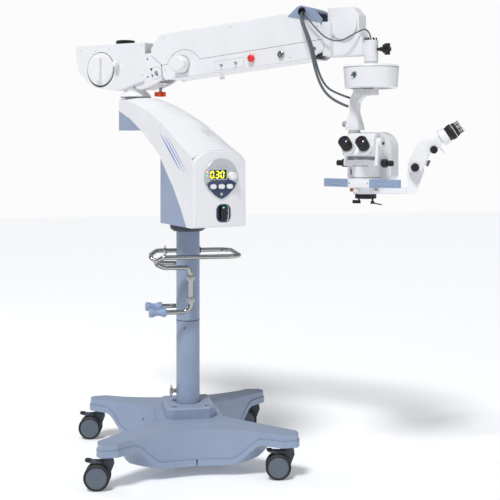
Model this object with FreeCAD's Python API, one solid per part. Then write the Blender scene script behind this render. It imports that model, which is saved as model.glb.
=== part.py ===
import FreeCAD, Part
import math
import os

V = FreeCAD.Vector

# Driving dimensions, mm
RUN = 0.05            # radial running clearance
STEM_HALF = 352.5     # caster stems stand on a square
TIP_R = 37.0
TIP_BOTTOM = 130.0
TIP_TOP = 181.0
HUB_TOP = 190.0
BELLY = 45.0
LIP = 25.0
BLOCK_TOP = 118.0
WHEEL_R = 50.0
STEM_R = 6.0
AXLE_R = 4.0
CASTER_TURN = -10.7
COLUMN_R = 49.0
COLUMN_TOP = 958.0
SPIGOT_R = 38.0
SPIGOT_TOP = 1180.0
COLLAR_TOP = 978.0
RAIL_R = 9.5
SHELL = 4.0
HOUSE_TURN = 19.3
HOUSE_BOTTOM = 982.0
FRONT_A = 265.0
PANEL_A = 293.0
SWIVEL_A = -540.0
NECK_SPIGOT_R = 30.0
UPPER_TURN = -42.7
COVER_P = 60.0
COVER_END = 98.0
DIAL = (-159.0, 1661.0)
DIAL_LOCK = (-59.0, 1682.0)
ARM_LOCK_X = 143.0
ARM_P = 68.0
PIN_R = 10.0
ARM_A = (165.0, 1632.3)
ARM_LENGTH = 815.0
ARM_RISE = 5.3
LINK_UP = 90.0
HEAD_REACH = 226.084
TUBE_R = 28.25
SPINDLE_R = 20.0
OPTIC_P = 51.0
ZOOM_R = 55.0
OBJECTIVE_R = 42.3
SCOPE_TURN = -19.7
BINO = (67.0, 1317.0)
BINO_RISE = 35.0
EYE_X = 37.0

BUTTONS = (("console_button_left", -37.0), ("console_button_mid", 0.0), ("console_button_right", 37.0))
BUTTON_Z = 1146.0
SWITCH = (10.0, 1040.0)

END_X = ARM_A[0] + ARM_LENGTH * math.cos(math.radians(ARM_RISE))
END_Z = ARM_A[1] + ARM_LENGTH * math.sin(math.radians(ARM_RISE))
TUBE_S = END_X + HEAD_REACH
HOUSE_N = (math.sin(math.radians(HOUSE_TURN)), -math.cos(math.radians(HOUSE_TURN)))
SWIVEL = V(SWIVEL_A * HOUSE_N[0], SWIVEL_A * HOUSE_N[1], 0)
E_S = V(math.cos(math.radians(UPPER_TURN)), math.sin(math.radians(UPPER_TURN)), 0)
E_P = V(E_S.y, -E_S.x, 0)
OPTIC = SWIVEL + E_S * TUBE_S + E_P * OPTIC_P


def box(x0, x1, y0, y1, z0, z1):
    return Part.makeBox(x1 - x0, y1 - y0, z1 - z0, V(x0, y0, z0))


def rod(r, a, b):
    a = V(*a)
    b = V(*b)
    return Part.makeCylinder(r, (b - a).Length, a, b - a)


def fused(shapes):
    out = shapes[0]
    for s in shapes[1:]:
        out = out.fuse(s)
    return out.removeSplitter()


def compound(shapes):
    return Part.makeCompound(shapes)


def turned(shape, degrees, centre=(0, 0, 0), axis=(0, 0, 1)):
    s = shape.copy()
    s.rotate(V(*centre), V(*axis), degrees)
    return s


def moved(shape, x, y, z):
    s = shape.copy()
    s.translate(V(x, y, z))
    return s


def mirrored(shape, normal):
    return shape.mirror(V(0, 0, 0), V(*normal))


def rounded(points):
    """Closed wire in the XY plane; each point is (x, y) or (x, y, corner radius)."""
    n = len(points)
    corners = []
    for i in range(n):
        p = V(points[i][0], points[i][1], 0)
        a = V(points[i - 1][0], points[i - 1][1], 0) - p
        b = V(points[(i + 1) % n][0], points[(i + 1) % n][1], 0) - p
        r = points[i][2] if len(points[i]) > 2 else 0
        if r <= 0:
            corners.append((p, p, p))
            continue
        half = a.getAngle(b) / 2
        t = r / math.tan(half)
        mid = (a.normalize() + b.normalize()).normalize()
        corners.append((p + a * t, p + mid * (r / math.sin(half) - r), p + b * t))
    edges = []
    for i in range(n):
        start, mid, end = corners[i]
        if (end - start).Length > 1e-6:
            edges.append(Part.Arc(start, mid, end).toShape())
        after = corners[(i + 1) % n][0]
        if (after - end).Length > 1e-6:
            edges.append(Part.LineSegment(end, after).toShape())
    return Part.Wire(edges)


def slab(points, z0, z1):
    """Rounded outline in XY, raised from z0 to z1."""
    s = Part.Face(rounded(points)).extrude(V(0, 0, z1 - z0))
    s.translate(V(0, 0, z0))
    return s


def side(points, y0, y1):
    """Rounded outline in XZ, run from y0 to y1."""
    s = Part.Face(rounded(points)).extrude(V(0, 0, y1 - y0))
    s.rotate(V(0, 0, 0), V(1, 0, 0), 90)
    s.translate(V(0, y1, 0))
    return s


def cross(points, x0, x1):
    """Rounded outline in YZ, run from x0 to x1."""
    s = Part.Face(rounded(points)).extrude(V(0, 0, x1 - x0))
    s.rotate(V(0, 0, 0), V(1, 0, 0), 90)
    s.rotate(V(0, 0, 0), V(0, 0, 1), 90)
    s.translate(V(x0, 0, 0))
    return s


def lathe(points, centre=(0, 0, 0), axis=(0, 0, 1)):
    """Solid of revolution; points are (radius, height) along the axis."""
    wire = Part.makePolygon([V(r, 0, h) for r, h in points] + [V(points[0][0], 0, points[0][1])])
    s = Part.Face(wire).revolve(V(0, 0, 0), V(0, 0, 1), 360)
    turn = FreeCAD.Rotation(V(0, 0, 1), V(*axis))
    s.Placement = FreeCAD.Placement(V(*centre), turn)
    return s


def knurled(r, h, count, depth, centre, axis):
    """Grip knob with round flutes and bevelled ends."""
    b = min(1.5, h / 4)
    s = lathe([(0, 0), (r - b, 0), (r, b), (r, h - b), (r - b, h), (0, h)])
    cuts = []
    for i in range(count):
        a = 2 * math.pi * i / count
        cuts.append(Part.makeCylinder(depth, h + 2, V(r * math.cos(a), r * math.sin(a), -1)))
    s = s.cut(cuts)
    s.Placement = FreeCAD.Placement(V(*centre), FreeCAD.Rotation(V(0, 0, 1), V(*axis)))
    return s


def bent_tube(points, r, radii=None, name=""):
    """Round bar on straight runs joined by tangent arcs."""
    pts = [V(*p) for p in points]
    edges = []
    last = pts[0]
    found = []
    for i in range(1, len(pts) - 1):
        a = pts[i - 1] - pts[i]
        b = pts[i + 1] - pts[i]
        turn = math.pi - a.getAngle(b)
        shorter = min(a.Length, b.Length)
        ua = V(a).normalize()
        ub = V(b).normalize()
        if radii:
            t = radii[i - 1] * math.tan(turn / 2)
        else:
            t = 0.45 * shorter
        bend = t / math.tan(turn / 2)
        found.append(bend)
        mid = (ua + ub).normalize()
        reach = bend / math.cos(turn / 2) - bend
        start = pts[i] + ua * t
        end = pts[i] + ub * t
        if (start - last).Length > 1e-4:
            edges.append(Part.LineSegment(last, start).toShape())
        edges.append(Part.Arc(start, pts[i] + mid * reach, end).toShape())
        last = end
    edges.append(Part.LineSegment(last, pts[-1]).toShape())
    wire = Part.Wire(edges)
    disc = Part.Wire(Part.Circle(pts[0], pts[1] - pts[0], r).toShape())
    solid = wire.makePipeShell([disc], True, False)
    print(name, "bend radii", [round(f, 1) for f in found], "volume ratio",
          round(solid.Volume / (math.pi * r * r * wire.Length), 4))
    return solid


def in_house(shape):
    return turned(shape, HOUSE_TURN)


def in_upper(shape):
    s = turned(shape, UPPER_TURN)
    s.translate(SWIVEL)
    return s


def in_arm(shape):
    s = turned(shape, -ARM_RISE, (0, 0, 0), (0, 1, 0))
    s.translate(V(ARM_A[0], 0, ARM_A[1]))
    return in_upper(s)


def in_head(shape):
    return in_upper(moved(shape, TUBE_S, 0, 0))


def in_scope(shape):
    s = turned(shape, SCOPE_TURN)
    s.translate(OPTIC)
    return s


# Base

def base_plan(grow):
    t = STEM_HALF
    o = TIP_R + grow
    pts = []
    quarter = [(132 + grow, 0), (132 + grow, -104), (t + o * 0.95, -(t - o * 0.62)),
               (t + o * 0.62, -(t + o)), (t - o * 0.9, -(t + o)), (0, -(274 + grow))]
    c = quarter
    front = Part.Arc(V(c[4][0], c[4][1], 0), V(0, c[5][1], 0), V(-c[4][0], c[4][1], 0)).toShape()
    back = Part.Arc(V(-c[4][0], -c[4][1], 0), V(0, -c[5][1], 0), V(c[4][0], -c[4][1], 0)).toShape()
    right_low = [V(c[4][0], c[4][1], 0), V(c[3][0], c[3][1], 0)]
    edges = [front, back]
    for mx, my in ((1, 1), (-1, 1), (1, -1), (-1, -1)):
        def m(v):
            return V(v.x * mx, v.y * my, 0)
        edges.append(Part.LineSegment(m(right_low[0]), m(right_low[1])).toShape())
        edges.append(Part.Arc(m(V(c[3][0], c[3][1], 0)), m(V(t + o * 0.93, -(t + o * 0.55), 0)),
                              m(V(c[2][0], c[2][1], 0))).toShape())
        edges.append(Part.LineSegment(m(V(c[2][0], c[2][1], 0)), m(V(c[1][0], c[1][1], 0))).toShape())
    for mx in (1, -1):
        edges.append(Part.LineSegment(V(mx * c[1][0], c[1][1], 0), V(mx * c[1][0], -c[1][1], 0)).toShape())
    return Part.Face(Part.Wire(Part.__sortEdges__(edges)))


def s_curve(r0, r1, z0, z1, steps):
    pts = []
    for i in range(steps + 1):
        f = i / steps
        w = 3 * f * f - 2 * f * f * f
        pts.append((r0 + (r1 - r0) * f, z0 + (z1 - z0) * w))
    return pts


def base_round(low_lift, top_points):
    """Body of revolution between the belly's S curve, lifted, and a top line."""
    low = s_curve(318, 424, BELLY + low_lift, TIP_BOTTOM + low_lift, 6)
    pts = [(0, BELLY + low_lift)] + low + [(600, TIP_BOTTOM + low_lift)]
    return lathe(pts + list(reversed(top_points)))


def stem_spots():
    t = STEM_HALF
    return [("fl", -t, -t), ("fr", t, -t), ("rl", -t, t), ("rr", t, t)]


def base_frame():
    lip_top = [(0, BELLY + LIP)] + s_curve(318, 424, BELLY + LIP, TIP_BOTTOM + LIP, 6) + [(600, TIP_BOTTOM + LIP)]
    outer = base_plan(4.0).extrude(V(0, 0, 300))
    band = outer.common(base_round(0, lip_top))
    core = Part.makeCylinder(112, BLOCK_TOP - BELLY - 10, V(0, 0, BELLY + 10))
    for sx, sy in ((1, 1), (1, -1), (-1, 1), (-1, -1)):
        leg = box(0, 420, -24, 24, BELLY + 30, BLOCK_TOP)
        core = core.fuse(turned(leg, math.degrees(math.atan2(sy, sx))))
    keep = lathe([(0, BELLY)] + s_curve(318, 424, BELLY, TIP_BOTTOM, 6) + [(600, TIP_BOTTOM), (600, 300), (0, 300)])
    inside = base_plan(0).makeOffset2D(-10).extrude(V(0, 0, 300))
    body = band.fuse(core.common(keep).common(inside)).removeSplitter()
    groove = box(-3, 3, -290, -262, 0, BELLY + LIP + 20)
    body = body.cut(groove)
    for name, x, y in stem_spots():
        body = body.cut(Part.makeCylinder(STEM_R + RUN, 22, V(x, y, TIP_BOTTOM - 1)))
    return body


def base_cover():
    top = [(0, HUB_TOP), (170, HUB_TOP), (430, TIP_TOP + 1), (560, TIP_TOP - 3), (600, TIP_TOP - 8)]
    solid = base_plan(0).extrude(V(0, 0, 300)).common(base_round(LIP, top))
    inner = base_plan(0).makeOffset2D(-9).extrude(V(0, 0, 300))
    roof = [(0, HUB_TOP - 9), (170, HUB_TOP - 9), (430, TIP_TOP - 8), (600, TIP_TOP - 14)]
    low = s_curve(318, 424, BELLY + LIP - 1, TIP_BOTTOM + LIP - 1, 6)
    room = lathe([(0, BELLY + LIP - 1)] + low + [(600, TIP_BOTTOM + LIP - 1)] + list(reversed(roof)))
    solid = solid.cut(inner.common(room))
    solid = solid.cut(Part.makeCylinder(COLUMN_R + 1, 40, V(0, 0, HUB_TOP - 20)))
    for name, x, y in stem_spots():
        post = Part.makeCylinder(16, 24, V(x, y, TIP_BOTTOM + LIP))
        solid = solid.fuse(post.common(lathe([(0, 0)] + [(600, 0)] + [(600, TIP_TOP - 10), (0, HUB_TOP - 5)])))
    return solid.removeSplitter()


def hub_cover():
    half = 101.0
    pts = [(-half, 112, 16), (-half, -96, 10), (-76, -122, 8), (76, -122, 8), (half, -96, 10), (half, 112, 16)]
    s = slab(pts, HUB_TOP, 234)
    edge = [e for e in s.Edges if e.BoundBox.ZMin > 233.9 and e.BoundBox.ZMax < 234.1]
    s = s.makeChamfer(5, edge)
    nose = rod(230, (0, 96, HUB_TOP - 5), (0, 96, 260))
    s = s.common(nose.fuse(box(-120, 120, 0, 130, 100, 300)))
    s = s.cut(Part.makeCylinder(COLUMN_R + 4, 60, V(0, 0, HUB_TOP - 5)))
    for x in (-66, 66):
        s = s.cut(Part.makeCylinder(10, 40, V(x, -84, 214)))
        s = s.fuse(Part.makeCylinder(7, 6, V(x, -84, 213)))
    return s.removeSplitter()


def caster_parts(x, y):
    trail = -40.0
    z = WHEEL_R
    web = side([(-60, 36, 10), (-62, 66, 8), (-41, 98, 5), (-33, 114, 4), (22, 114, 6), (24, 96, 6), (4, 44, 18)], -9, 9)
    cheek = side([(-14, 100, 3), (-12, 113, 3), (23, 113, 6), (25, 92, 8), (13, 66, 8), (10, 92, 4)], -15, 15)
    cup = lathe([(0, 110), (21, 110), (21, 122), (17, 124.5), (0, 124.5)])
    washer = lathe([(0, 124), (15, 124), (15, 129.5), (0, 129.5)])
    stem = Part.makeCylinder(STEM_R, TIP_BOTTOM + 19 - 124, V(0, 0, 124))
    fork = fused([web, cup, washer, stem])
    fork = fork.cut(rod(AXLE_R + RUN, (trail, -20, z), (trail, 20, z)))
    fork = fork.cut(rod(2.5 + RUN, (-24, -20, 107), (-24, 20, 107)))
    profile = [(0, 10), (8, 10), (30, 11), (46, 12.5), (49.2, 15), (50, 18), (50, 27), (48.5, 31), (45, 33),
               (41, 33), (40, 31.5), (12, 31.5), (0, 31.5)]
    wheel = lathe(profile, (trail, 0, z), (0, 1, 0))
    other = lathe(profile, (trail, 0, z), (0, -1, 0))
    axle = rod(AXLE_R, (trail, -14, z), (trail, 14, z))
    wheels = fused([wheel, other, axle])
    plate = side([(-42, 103, 1), (-60, 104), (-77, 108, 2), (-84, 111, 2), (-83, 114.5, 1), (-75, 112.5),
                  (-58, 109.5), (-42, 110, 1)], -21, 21)
    ears = side([(-45, 103, 1), (-22, 102, 3), (-18, 107, 3), (-22, 112, 3), (-45, 110, 1)], -16, 16)
    ears = ears.cut(box(-42, -10, -9.6, 9.6, 95, 120))
    pin = rod(2.5, (-24, -15, 107), (-24, 15, 107))
    pedal = fused([plate, ears, pin])
    out = []
    for s in (fork, wheels, pedal):
        out.append(moved(turned(s, CASTER_TURN), x, y, 0))
    return out


# Column and rail

def column():
    tube = Part.makeCylinder(COLUMN_R, COLUMN_TOP - BLOCK_TOP, V(0, 0, BLOCK_TOP))
    tube = tube.cut(Part.makeCylinder(COLUMN_R - 9, COLUMN_TOP - BLOCK_TOP - 60, V(0, 0, BLOCK_TOP + 20)))
    spigot = lathe([(0, COLUMN_TOP - 42), (SPIGOT_R, COLUMN_TOP - 42), (SPIGOT_R, SPIGOT_TOP - 3),
                    (SPIGOT_R - 3, SPIGOT_TOP), (0, SPIGOT_TOP)])
    groove = lathe([(COLUMN_R - 1, 576), (COLUMN_R + 1, 576), (COLUMN_R + 1, 578.5), (COLUMN_R - 1, 578.5)])
    hole = rod(3, (-20, -60, 548), (-20, -30, 548))
    return fused([tube, spigot]).cut(groove).cut(hole)


def bearing_collar():
    outer = lathe([(COLUMN_R, 950), (62, 950), (74, 960), (74, COLLAR_TOP - 2), (72, COLLAR_TOP), (COLUMN_R, COLLAR_TOP)])
    rim = lathe([(SPIGOT_R, COLUMN_TOP), (COLUMN_R + 1, COLUMN_TOP), (COLUMN_R + 1, COLLAR_TOP), (SPIGOT_R, COLLAR_TOP)])
    return fused([outer, rim])


def rail_path(front):
    """Front half: hand grip, riser, double return bend and half of the top loop."""
    f = front
    return [(-160, f * 84, 622), (0, f * 84, 622), (0, f * 84, 804), (-112, f * 88, 806),
            (-158, f * 112, 830), (-118, f * 138, 853), (166, f * 138, 853), (200, f * 104, 853), (200, 0, 853)]


def handrail():
    halves = []
    for f in (-1, 1):
        halves.append(bent_tube(rail_path(f), RAIL_R, [36, 24, 40, 20, 22, 38, 22], "rail"))
    parts = halves
    for f in (-1, 1):
        for z in (672, 762):
            parts.append(lathe([(0, -9), (16, -9), (16, 9), (0, 9)], (0, f * 84, z)))
            arm = box(-9, 9, COLUMN_R - 2, 84, z - 7, z + 7)
            if f < 0:
                arm = turned(arm, 180)
            parts.append(arm)
    body = fused(parts)
    return body.cut(Part.makeCylinder(COLUMN_R, 400, V(0, 0, 500)))


def rail_grips():
    out = []
    for f in (-1, 1):
        x0 = -172
        prof = [(0, 0), (14, 0), (18.5, 4), (18.5, 16), (15, 24), (12.5, 34), (12.5, 42), (15, 50), (18.5, 58),
                (18.5, 68), (14, 72), (0, 72)]
        grip = lathe(prof, (x0, f * 84, 622), (1, 0, 0))
        grip = grip.cut(rod(RAIL_R, (-160, f * 84, 622), (-60, f * 84, 622)))
        out.append(grip)
    return compound(out)


def cable_pegs():
    out = []
    for z, reach in ((865, 46), (280, 20)):
        prof = [(0, 0), (9, 0), (9, 6), (7, 7), (7, reach - 9), (9, reach - 8), (10, reach - 3), (22, reach),
                (24, reach + 3), (20, reach + 7), (9, reach + 10), (0, reach + 11)]
        p = lathe(prof, (-COLUMN_R + 1.2, 0, z), (-1, 0, 0))
        out.append(p.cut(Part.makeCylinder(COLUMN_R, 60, V(0, 0, z - 30))))
    return compound(out)


# Housing, front toward -Y, a = -y

RIDGE = [(300, 1240), (264, 1261), (163, 1305), (58, 1354), (-52, 1402), (-168, 1441), (-289, 1475),
         (-416, 1501), (-557, 1514), (-640, 1516)]


def house_section(a, ridge, inset):
    w = 103.4 + 0.0525 * a - inset
    crown = 30.0 if a > -300 else 30.0 - 0.078 * (-300 - a)
    z = ridge - inset
    low = HOUSE_BOTTOM - 20
    top = Part.Arc(V(-w, -a, z), V(0, -a, z + crown), V(w, -a, z)).toShape()
    pts = [V(w, -a, z), V(w, -a, low), V(-w, -a, low), V(-w, -a, z)]
    lines = [Part.LineSegment(pts[i], pts[i + 1]).toShape() for i in range(3)]
    return Part.Wire([top] + lines)


def house_loft(inset):
    return Part.makeLoft([house_section(a, z, inset) for a, z in RIDGE], True, False)


def house_profile(points, half):
    return cross([(-a, z) for a, z in points], -half, half)


def house_plan(inset):
    r = 74.0 - inset
    y_end = -SWIVEL_A + r
    pts = [(-130 + inset, -FRONT_A - 10), (130 - inset, -FRONT_A - 10), (104 - inset, 60),
           (r, y_end, r - 1), (-r, y_end, r - 1), (-104 + inset, 60)]
    return slab(pts, 900, 1700)


def house_solid(inset):
    s = house_loft(inset).common(house_plan(inset))
    i = inset
    under = [(-700, 900), (-58 + i, 900), (-58 + i, 1263 + i), (-168, 1316 + i), (-289, 1374 + i), (-700, 1374 + i)]
    s = s.cut(house_profile(under, 200))
    front = FRONT_A
    s = s.cut(house_profile([(front, 800), (400, 800), (400, 1500), (front, 1500)], 200))
    return s.cut(box(-200, 200, -400, 700, 900, HOUSE_BOTTOM + i * 0.75))


def lower_region():
    pts = [(-700, 1478), (-640, 1478), (-557, 1463), (-416, 1424), (-289, 1374), (-168, 1316), (-58, 1251),
           (14, 1190), (80, 1134), (163, 1045), (231, 960), (231, 800), (-700, 800)]
    return house_profile(pts, 200)


def gooseneck_frame():
    spine = house_profile([(66, 987), (66, 1215), (-52, 1360), (-289, 1438), (-520, 1478), (-575, 1478),
                           (-575, 1396), (-289, 1396), (-150, 1332), (-50, 1292), (-50, 987)], 40)
    hub = Part.makeCylinder(53, 210, V(0, 0, COLLAR_TOP + 0.2))
    boss = Part.makeCylinder(45, 1525.8 - 1396, V(0, -SWIVEL_A, 1396))
    plates = []
    for a0, a1, z0, z1 in ((-40, -30, 990, 1260), (40, 50, 990, 1210), (-470, -460, 1376, 1500), (-300, -290, 1376, 1480)):
        plates.append(house_profile([(a0, z0), (a1, z0), (a1, z1), (a0, z1)], 200))
    ribs = compound(plates).common(house_solid(SHELL))
    body = fused([spine, hub, boss] + ribs.Solids)
    body = body.cut(Part.makeCylinder(SPIGOT_R + RUN, SPIGOT_TOP + 6 - 900, V(0, 0, 900)))
    body = body.cut(Part.makeCylinder(NECK_SPIGOT_R + RUN, 200, V(0, -SWIVEL_A, 1410)))
    return in_house(body)


def housing_skin():
    skin = house_solid(0).cut(house_solid(SHELL))
    skin = skin.cut(Part.makeCylinder(78, 60, V(0, 0, 960)))
    return skin.cut(Part.makeCylinder(49, 200, V(0, -SWIVEL_A, 1450)))


def housing_parts():
    skin = housing_skin()
    low = lower_region()
    white = skin.cut(low)
    slots = []
    for group, x0 in ((0, 22), (1, 52)):
        for i in range(5 - group):
            y0 = -118 + 8 * i + 16 * group
            slot = box(-1.5, 1.5, -26, 26, 1250, 1500)
            slots.append(moved(turned(slot, 16), x0 + 5 * i, y0, 0))
    white = white.cut(slots)
    return in_house(white), in_house(skin.common(low))


def front_panel():
    pts = [(-118, 984, 6), (118, 984, 6), (116, 1252, 30), (66, 1287, 60), (-66, 1287, 60), (-116, 1252, 30)]
    s = side(pts, -320, -FRONT_A)
    barrel = rod(900, (0, 900 - PANEL_A, 900), (0, 900 - PANEL_A, 1400))
    s = s.common(barrel)
    rim = [e for e in s.Edges if e.BoundBox.YMax < -FRONT_A - 5]
    s = s.makeFillet(7, rim)
    hollow = side([(-108, 994, 6), (108, 994, 6), (106, 1244, 26), (60, 1276, 50), (-60, 1276, 50), (-106, 1244, 26)],
                  -FRONT_A - 14, -FRONT_A + 1)
    s = s.cut(hollow)
    pocket = side([(-14, 1008, 12), (34, 1008, 12), (34, 1072, 12), (-14, 1072, 12)], -PANEL_A - 5, -PANEL_A + 10)
    s = s.cut(pocket)
    x, z = SWITCH
    s = s.cut(rod(2 + RUN, (x - 27, -PANEL_A + 6.5, z), (x + 27, -PANEL_A + 6.5, z)))
    s = s.cut(rod(4 + RUN, (44, -PANEL_A + 9, 1182 + 5), (44, -PANEL_A - 20, 1182 + 5)))
    s = s.cut(side([(-54, 1136), (54, 1136), (54, 1155), (-54, 1155)], -PANEL_A - 10, -PANEL_A + 16))
    return in_house(s.removeSplitter())


def oval(x, z, half_w, half_h, y0, y1):
    r = half_h - 0.01
    return side([(x - half_w, z - half_h, r), (x + half_w, z - half_h, r), (x + half_w, z + half_h, r),
                 (x - half_w, z + half_h, r)], y0, y1)


def console_plate():
    y0 = -PANEL_A - 3.0
    y1 = -PANEL_A + 0.0
    disc = rod(75, (0, y0, 1182), (0, y1 + 4, 1182))
    shield = side([(-66, 1150, 12), (0, 1092, 16), (66, 1150, 12), (50, 1180), (-50, 1180)], y0, y1 + 4)
    s = disc.fuse(shield)
    rim = [e for e in s.removeSplitter().Edges if e.BoundBox.YMax < y0 + 0.1]
    s = s.removeSplitter().makeChamfer(1.5, rim)
    s = s.cut(in_front_blank())
    s = s.cut(side([(-53, 1176), (21, 1176), (21, 1211), (-53, 1211)], y0 - 1, y0 + 1.4))
    for name, x in BUTTONS:
        s = s.cut(oval(x, BUTTON_Z, 13.2, 8.2, y0 - 1, y1 + 5))
    return in_house(s.cut(rod(4.3, (44, y0 - 1, 1187), (44, y1 + 5, 1187))))


def in_front_blank():
    return rod(900, (0, 900 - PANEL_A, 900), (0, 900 - PANEL_A, 1400))


def console_buttons():
    out = {}
    y0 = -PANEL_A - 6.5
    for name, x in BUTTONS:
        cap = oval(x, BUTTON_Z, 12.8, 7.8, y0, -PANEL_A + 7)
        foot = box(x - 15, x + 15, -PANEL_A + 5, -PANEL_A + 7.5, BUTTON_Z - 9, BUTTON_Z + 8.6)
        out[name] = in_house(cap.fuse(foot).removeSplitter())
    return out


def console_knob():
    k = lathe([(0, 0), (17, 0), (17, 3), (15.5, 18), (14, 20), (0, 20)], (44, -PANEL_A - 3.4, 1187), (0, -1, 0))
    ridge = box(44 - 2.5, 44 + 2.5, -PANEL_A - 26, -PANEL_A - 20, 1187 - 13, 1187 + 13)
    shaft = rod(4, (44, -PANEL_A - 5, 1187), (44, -PANEL_A + 8, 1187))
    return in_house(fused([k, ridge, shaft]))


def power_switch():
    x, z = SWITCH
    body = cross([(-PANEL_A - 2, z - 28, 2), (-PANEL_A + 6, z - 28, 2), (-PANEL_A + 9.5, z, 3), (-PANEL_A + 6, z + 28, 2),
                  (-PANEL_A - 2, z + 28, 2), (-PANEL_A - 0.5, z)], x - 11, x + 11)
    body = body.fuse(rod(2, (x - 26, -PANEL_A + 6.5, z), (x + 26, -PANEL_A + 6.5, z)))
    return in_house(body.removeSplitter())


# Upper assembly: x = along the arm, front toward -Y

def upper_cut(y0=-COVER_P, y1=COVER_P):
    pts = [(COVER_END, 1775, 5), (-322, 1775, 16), (-300, 1655, 70), (-220, 1580, 90), (-60, 1556, 90),
           (COVER_END, 1601, 5)]
    return side(pts, y0, y1)


def swivel_neck():
    low = lathe([(0, 1412), (NECK_SPIGOT_R - 2, 1412), (NECK_SPIGOT_R, 1415), (NECK_SPIGOT_R, 1526), (70, 1526),
                 (70.5, 1530), (68, 1537), (63, 1544), (56, 1550), (50, 1553), (50, 1640), (0, 1640)])
    plate = box(-90, 36, -COVER_P + 3, COVER_P - 3, 1630, 1668)
    s = fused([low, plate]).cut(rod(3, (27, -60, 1571), (27, -36, 1571)))
    return in_upper(s)


def head_cover():
    s = upper_cut()
    edges = [e for e in s.Edges if abs(abs(e.BoundBox.YMin) - COVER_P) < 0.1 and abs(e.BoundBox.YMax - e.BoundBox.YMin) < 0.1]
    s = s.makeFillet(3.0, edges)
    inner = side([(COVER_END - 3, 1772, 3), (-318.8, 1772, 13), (-297.1, 1656.2, 67), (-218.8, 1583.2, 87),
                  (-60.2, 1559.2, 87), (COVER_END - 3, 1603.4, 3)], -COVER_P + 3, COVER_P - 3)
    s = s.cut(inner)
    s = s.cut(box(COVER_END - 10, COVER_END + 10, -50.5, 50.5, 1540, 1722))
    s = s.cut(Part.makeCylinder(50.3, 60, V(0, 0, 1540)))
    s = s.cut(box(0, COVER_END, -50.5, 50.5, 1540, 1630))
    s = s.cut(rod(8 + RUN, (DIAL[0], -80, DIAL[1]), (DIAL[0], -40, DIAL[1])))
    s = s.cut(rod(5 + RUN, (DIAL_LOCK[0], -80, DIAL_LOCK[1]), (DIAL_LOCK[0], -40, DIAL_LOCK[1])))
    s = s.cut(rod(8 + RUN, (-61, 0, 1760), (-61, 0, 1790)))
    return in_upper(s)


def tension_dial():
    x, z = DIAL
    disc = lathe([(0, 0), (76, 0), (76, 5), (74, 8), (64, 9.5), (0, 9.5)], (x, -COVER_P - 0.4, z), (0, -1, 0))
    ridge = slab([(-58, -13, 9), (58, -13, 9), (58, 13, 9), (-58, 13, 9)], 0, 28)
    ridge = ridge.makeChamfer(3, [e for e in ridge.Edges if e.BoundBox.ZMin > 27])
    ridge = turned(turned(ridge, 90), 90, (0, 0, 0), (1, 0, 0))
    ridge = moved(ridge, x, -COVER_P - 1, z)
    shaft = rod(8, (x, -COVER_P - 2, z), (x, -COVER_P + 8, z))
    return in_upper(fused([disc, ridge, shaft]))


def tension_lock():
    x, z = DIAL_LOCK
    k = lathe([(0, 0), (9, 0), (9, 6), (14, 9), (14, 25), (12, 28), (0, 28)], (x, -COVER_P - 0.4, z), (0, -1, 0))
    return in_upper(k.fuse(rod(5, (x, -COVER_P - 2, z), (x, -COVER_P + 8, z))).removeSplitter())


def top_knob():
    k = knurled(44, 15, 28, 2.2, (-61, 0, 1778.5), (0, 0, 1))
    neck = Part.makeCylinder(20, 3.5, V(-61, 0, 1775.4))
    return in_upper(fused([k, neck, Part.makeCylinder(8, 12, V(-61, 0, 1768))]))


def arm_bracket():
    cheeks = []
    a, z = ARM_A
    pts = [(36, 1562), (74, 1554), (a + 8, 1590, 10), (a + 31, 1606, 14), (a + 31, 1640, 20), (a + 21, z + 99, 16),
           (a - 3, z + 106, 14), (a - 30, z + 92, 16), (36, 1716)]
    for y0, y1 in ((-62, -50), (50, 62)):
        cheeks.append(side(pts, y0, y1))
    web = side([(36, 1569), (74, 1560), (158, 1590), (148, 1598), (108, 1606), (108, 1690), (36, 1690)], -50, 50)
    s = fused(cheeks + [web])
    s = s.cut(box(30, COVER_END + 0.2, -70, -50, 1500, 1800)).cut(box(30, COVER_END + 0.2, 50, 70, 1500, 1800))
    s = s.cut(Part.makeCylinder(50, 90, V(0, 0, 1555)))
    s = s.cut(box(-100, 36, -60, 60, 1500, 1800))
    s = s.cut(rod(PIN_R + RUN, (a, -80, z), (a, 80, z)))
    s = s.cut(rod(8 + RUN, (a, -80, z + LINK_UP), (a, 80, z + LINK_UP)))
    pad = Part.makeCylinder(12, 24, V(ARM_LOCK_X, 0, 1570))
    s = s.fuse(pad)
    return in_upper(s.cut(Part.makeCylinder(6 + RUN, 60, V(ARM_LOCK_X, 0, 1550))).removeSplitter())


def arm_lock_knob():
    x = ARM_LOCK_X
    base = Part.makeCylinder(15, 22, V(x, 0, 1528))
    arms = [base]
    for i in range(5):
        a = 2 * math.pi * i / 5
        arms.append(Part.makeCylinder(9, 20, V(x + 19 * math.cos(a), 19 * math.sin(a), 1529)))
        arms.append(turned(box(0, 19, -6, 6, 1531, 1547), math.degrees(a)).translated(V(x, 0, 0)))
    arms.append(Part.makeCylinder(6, 30, V(x, 0, 1550)))
    return in_upper(fused(arms))


# Balance arm: x from the first pivot, level, before it is tipped up

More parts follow.
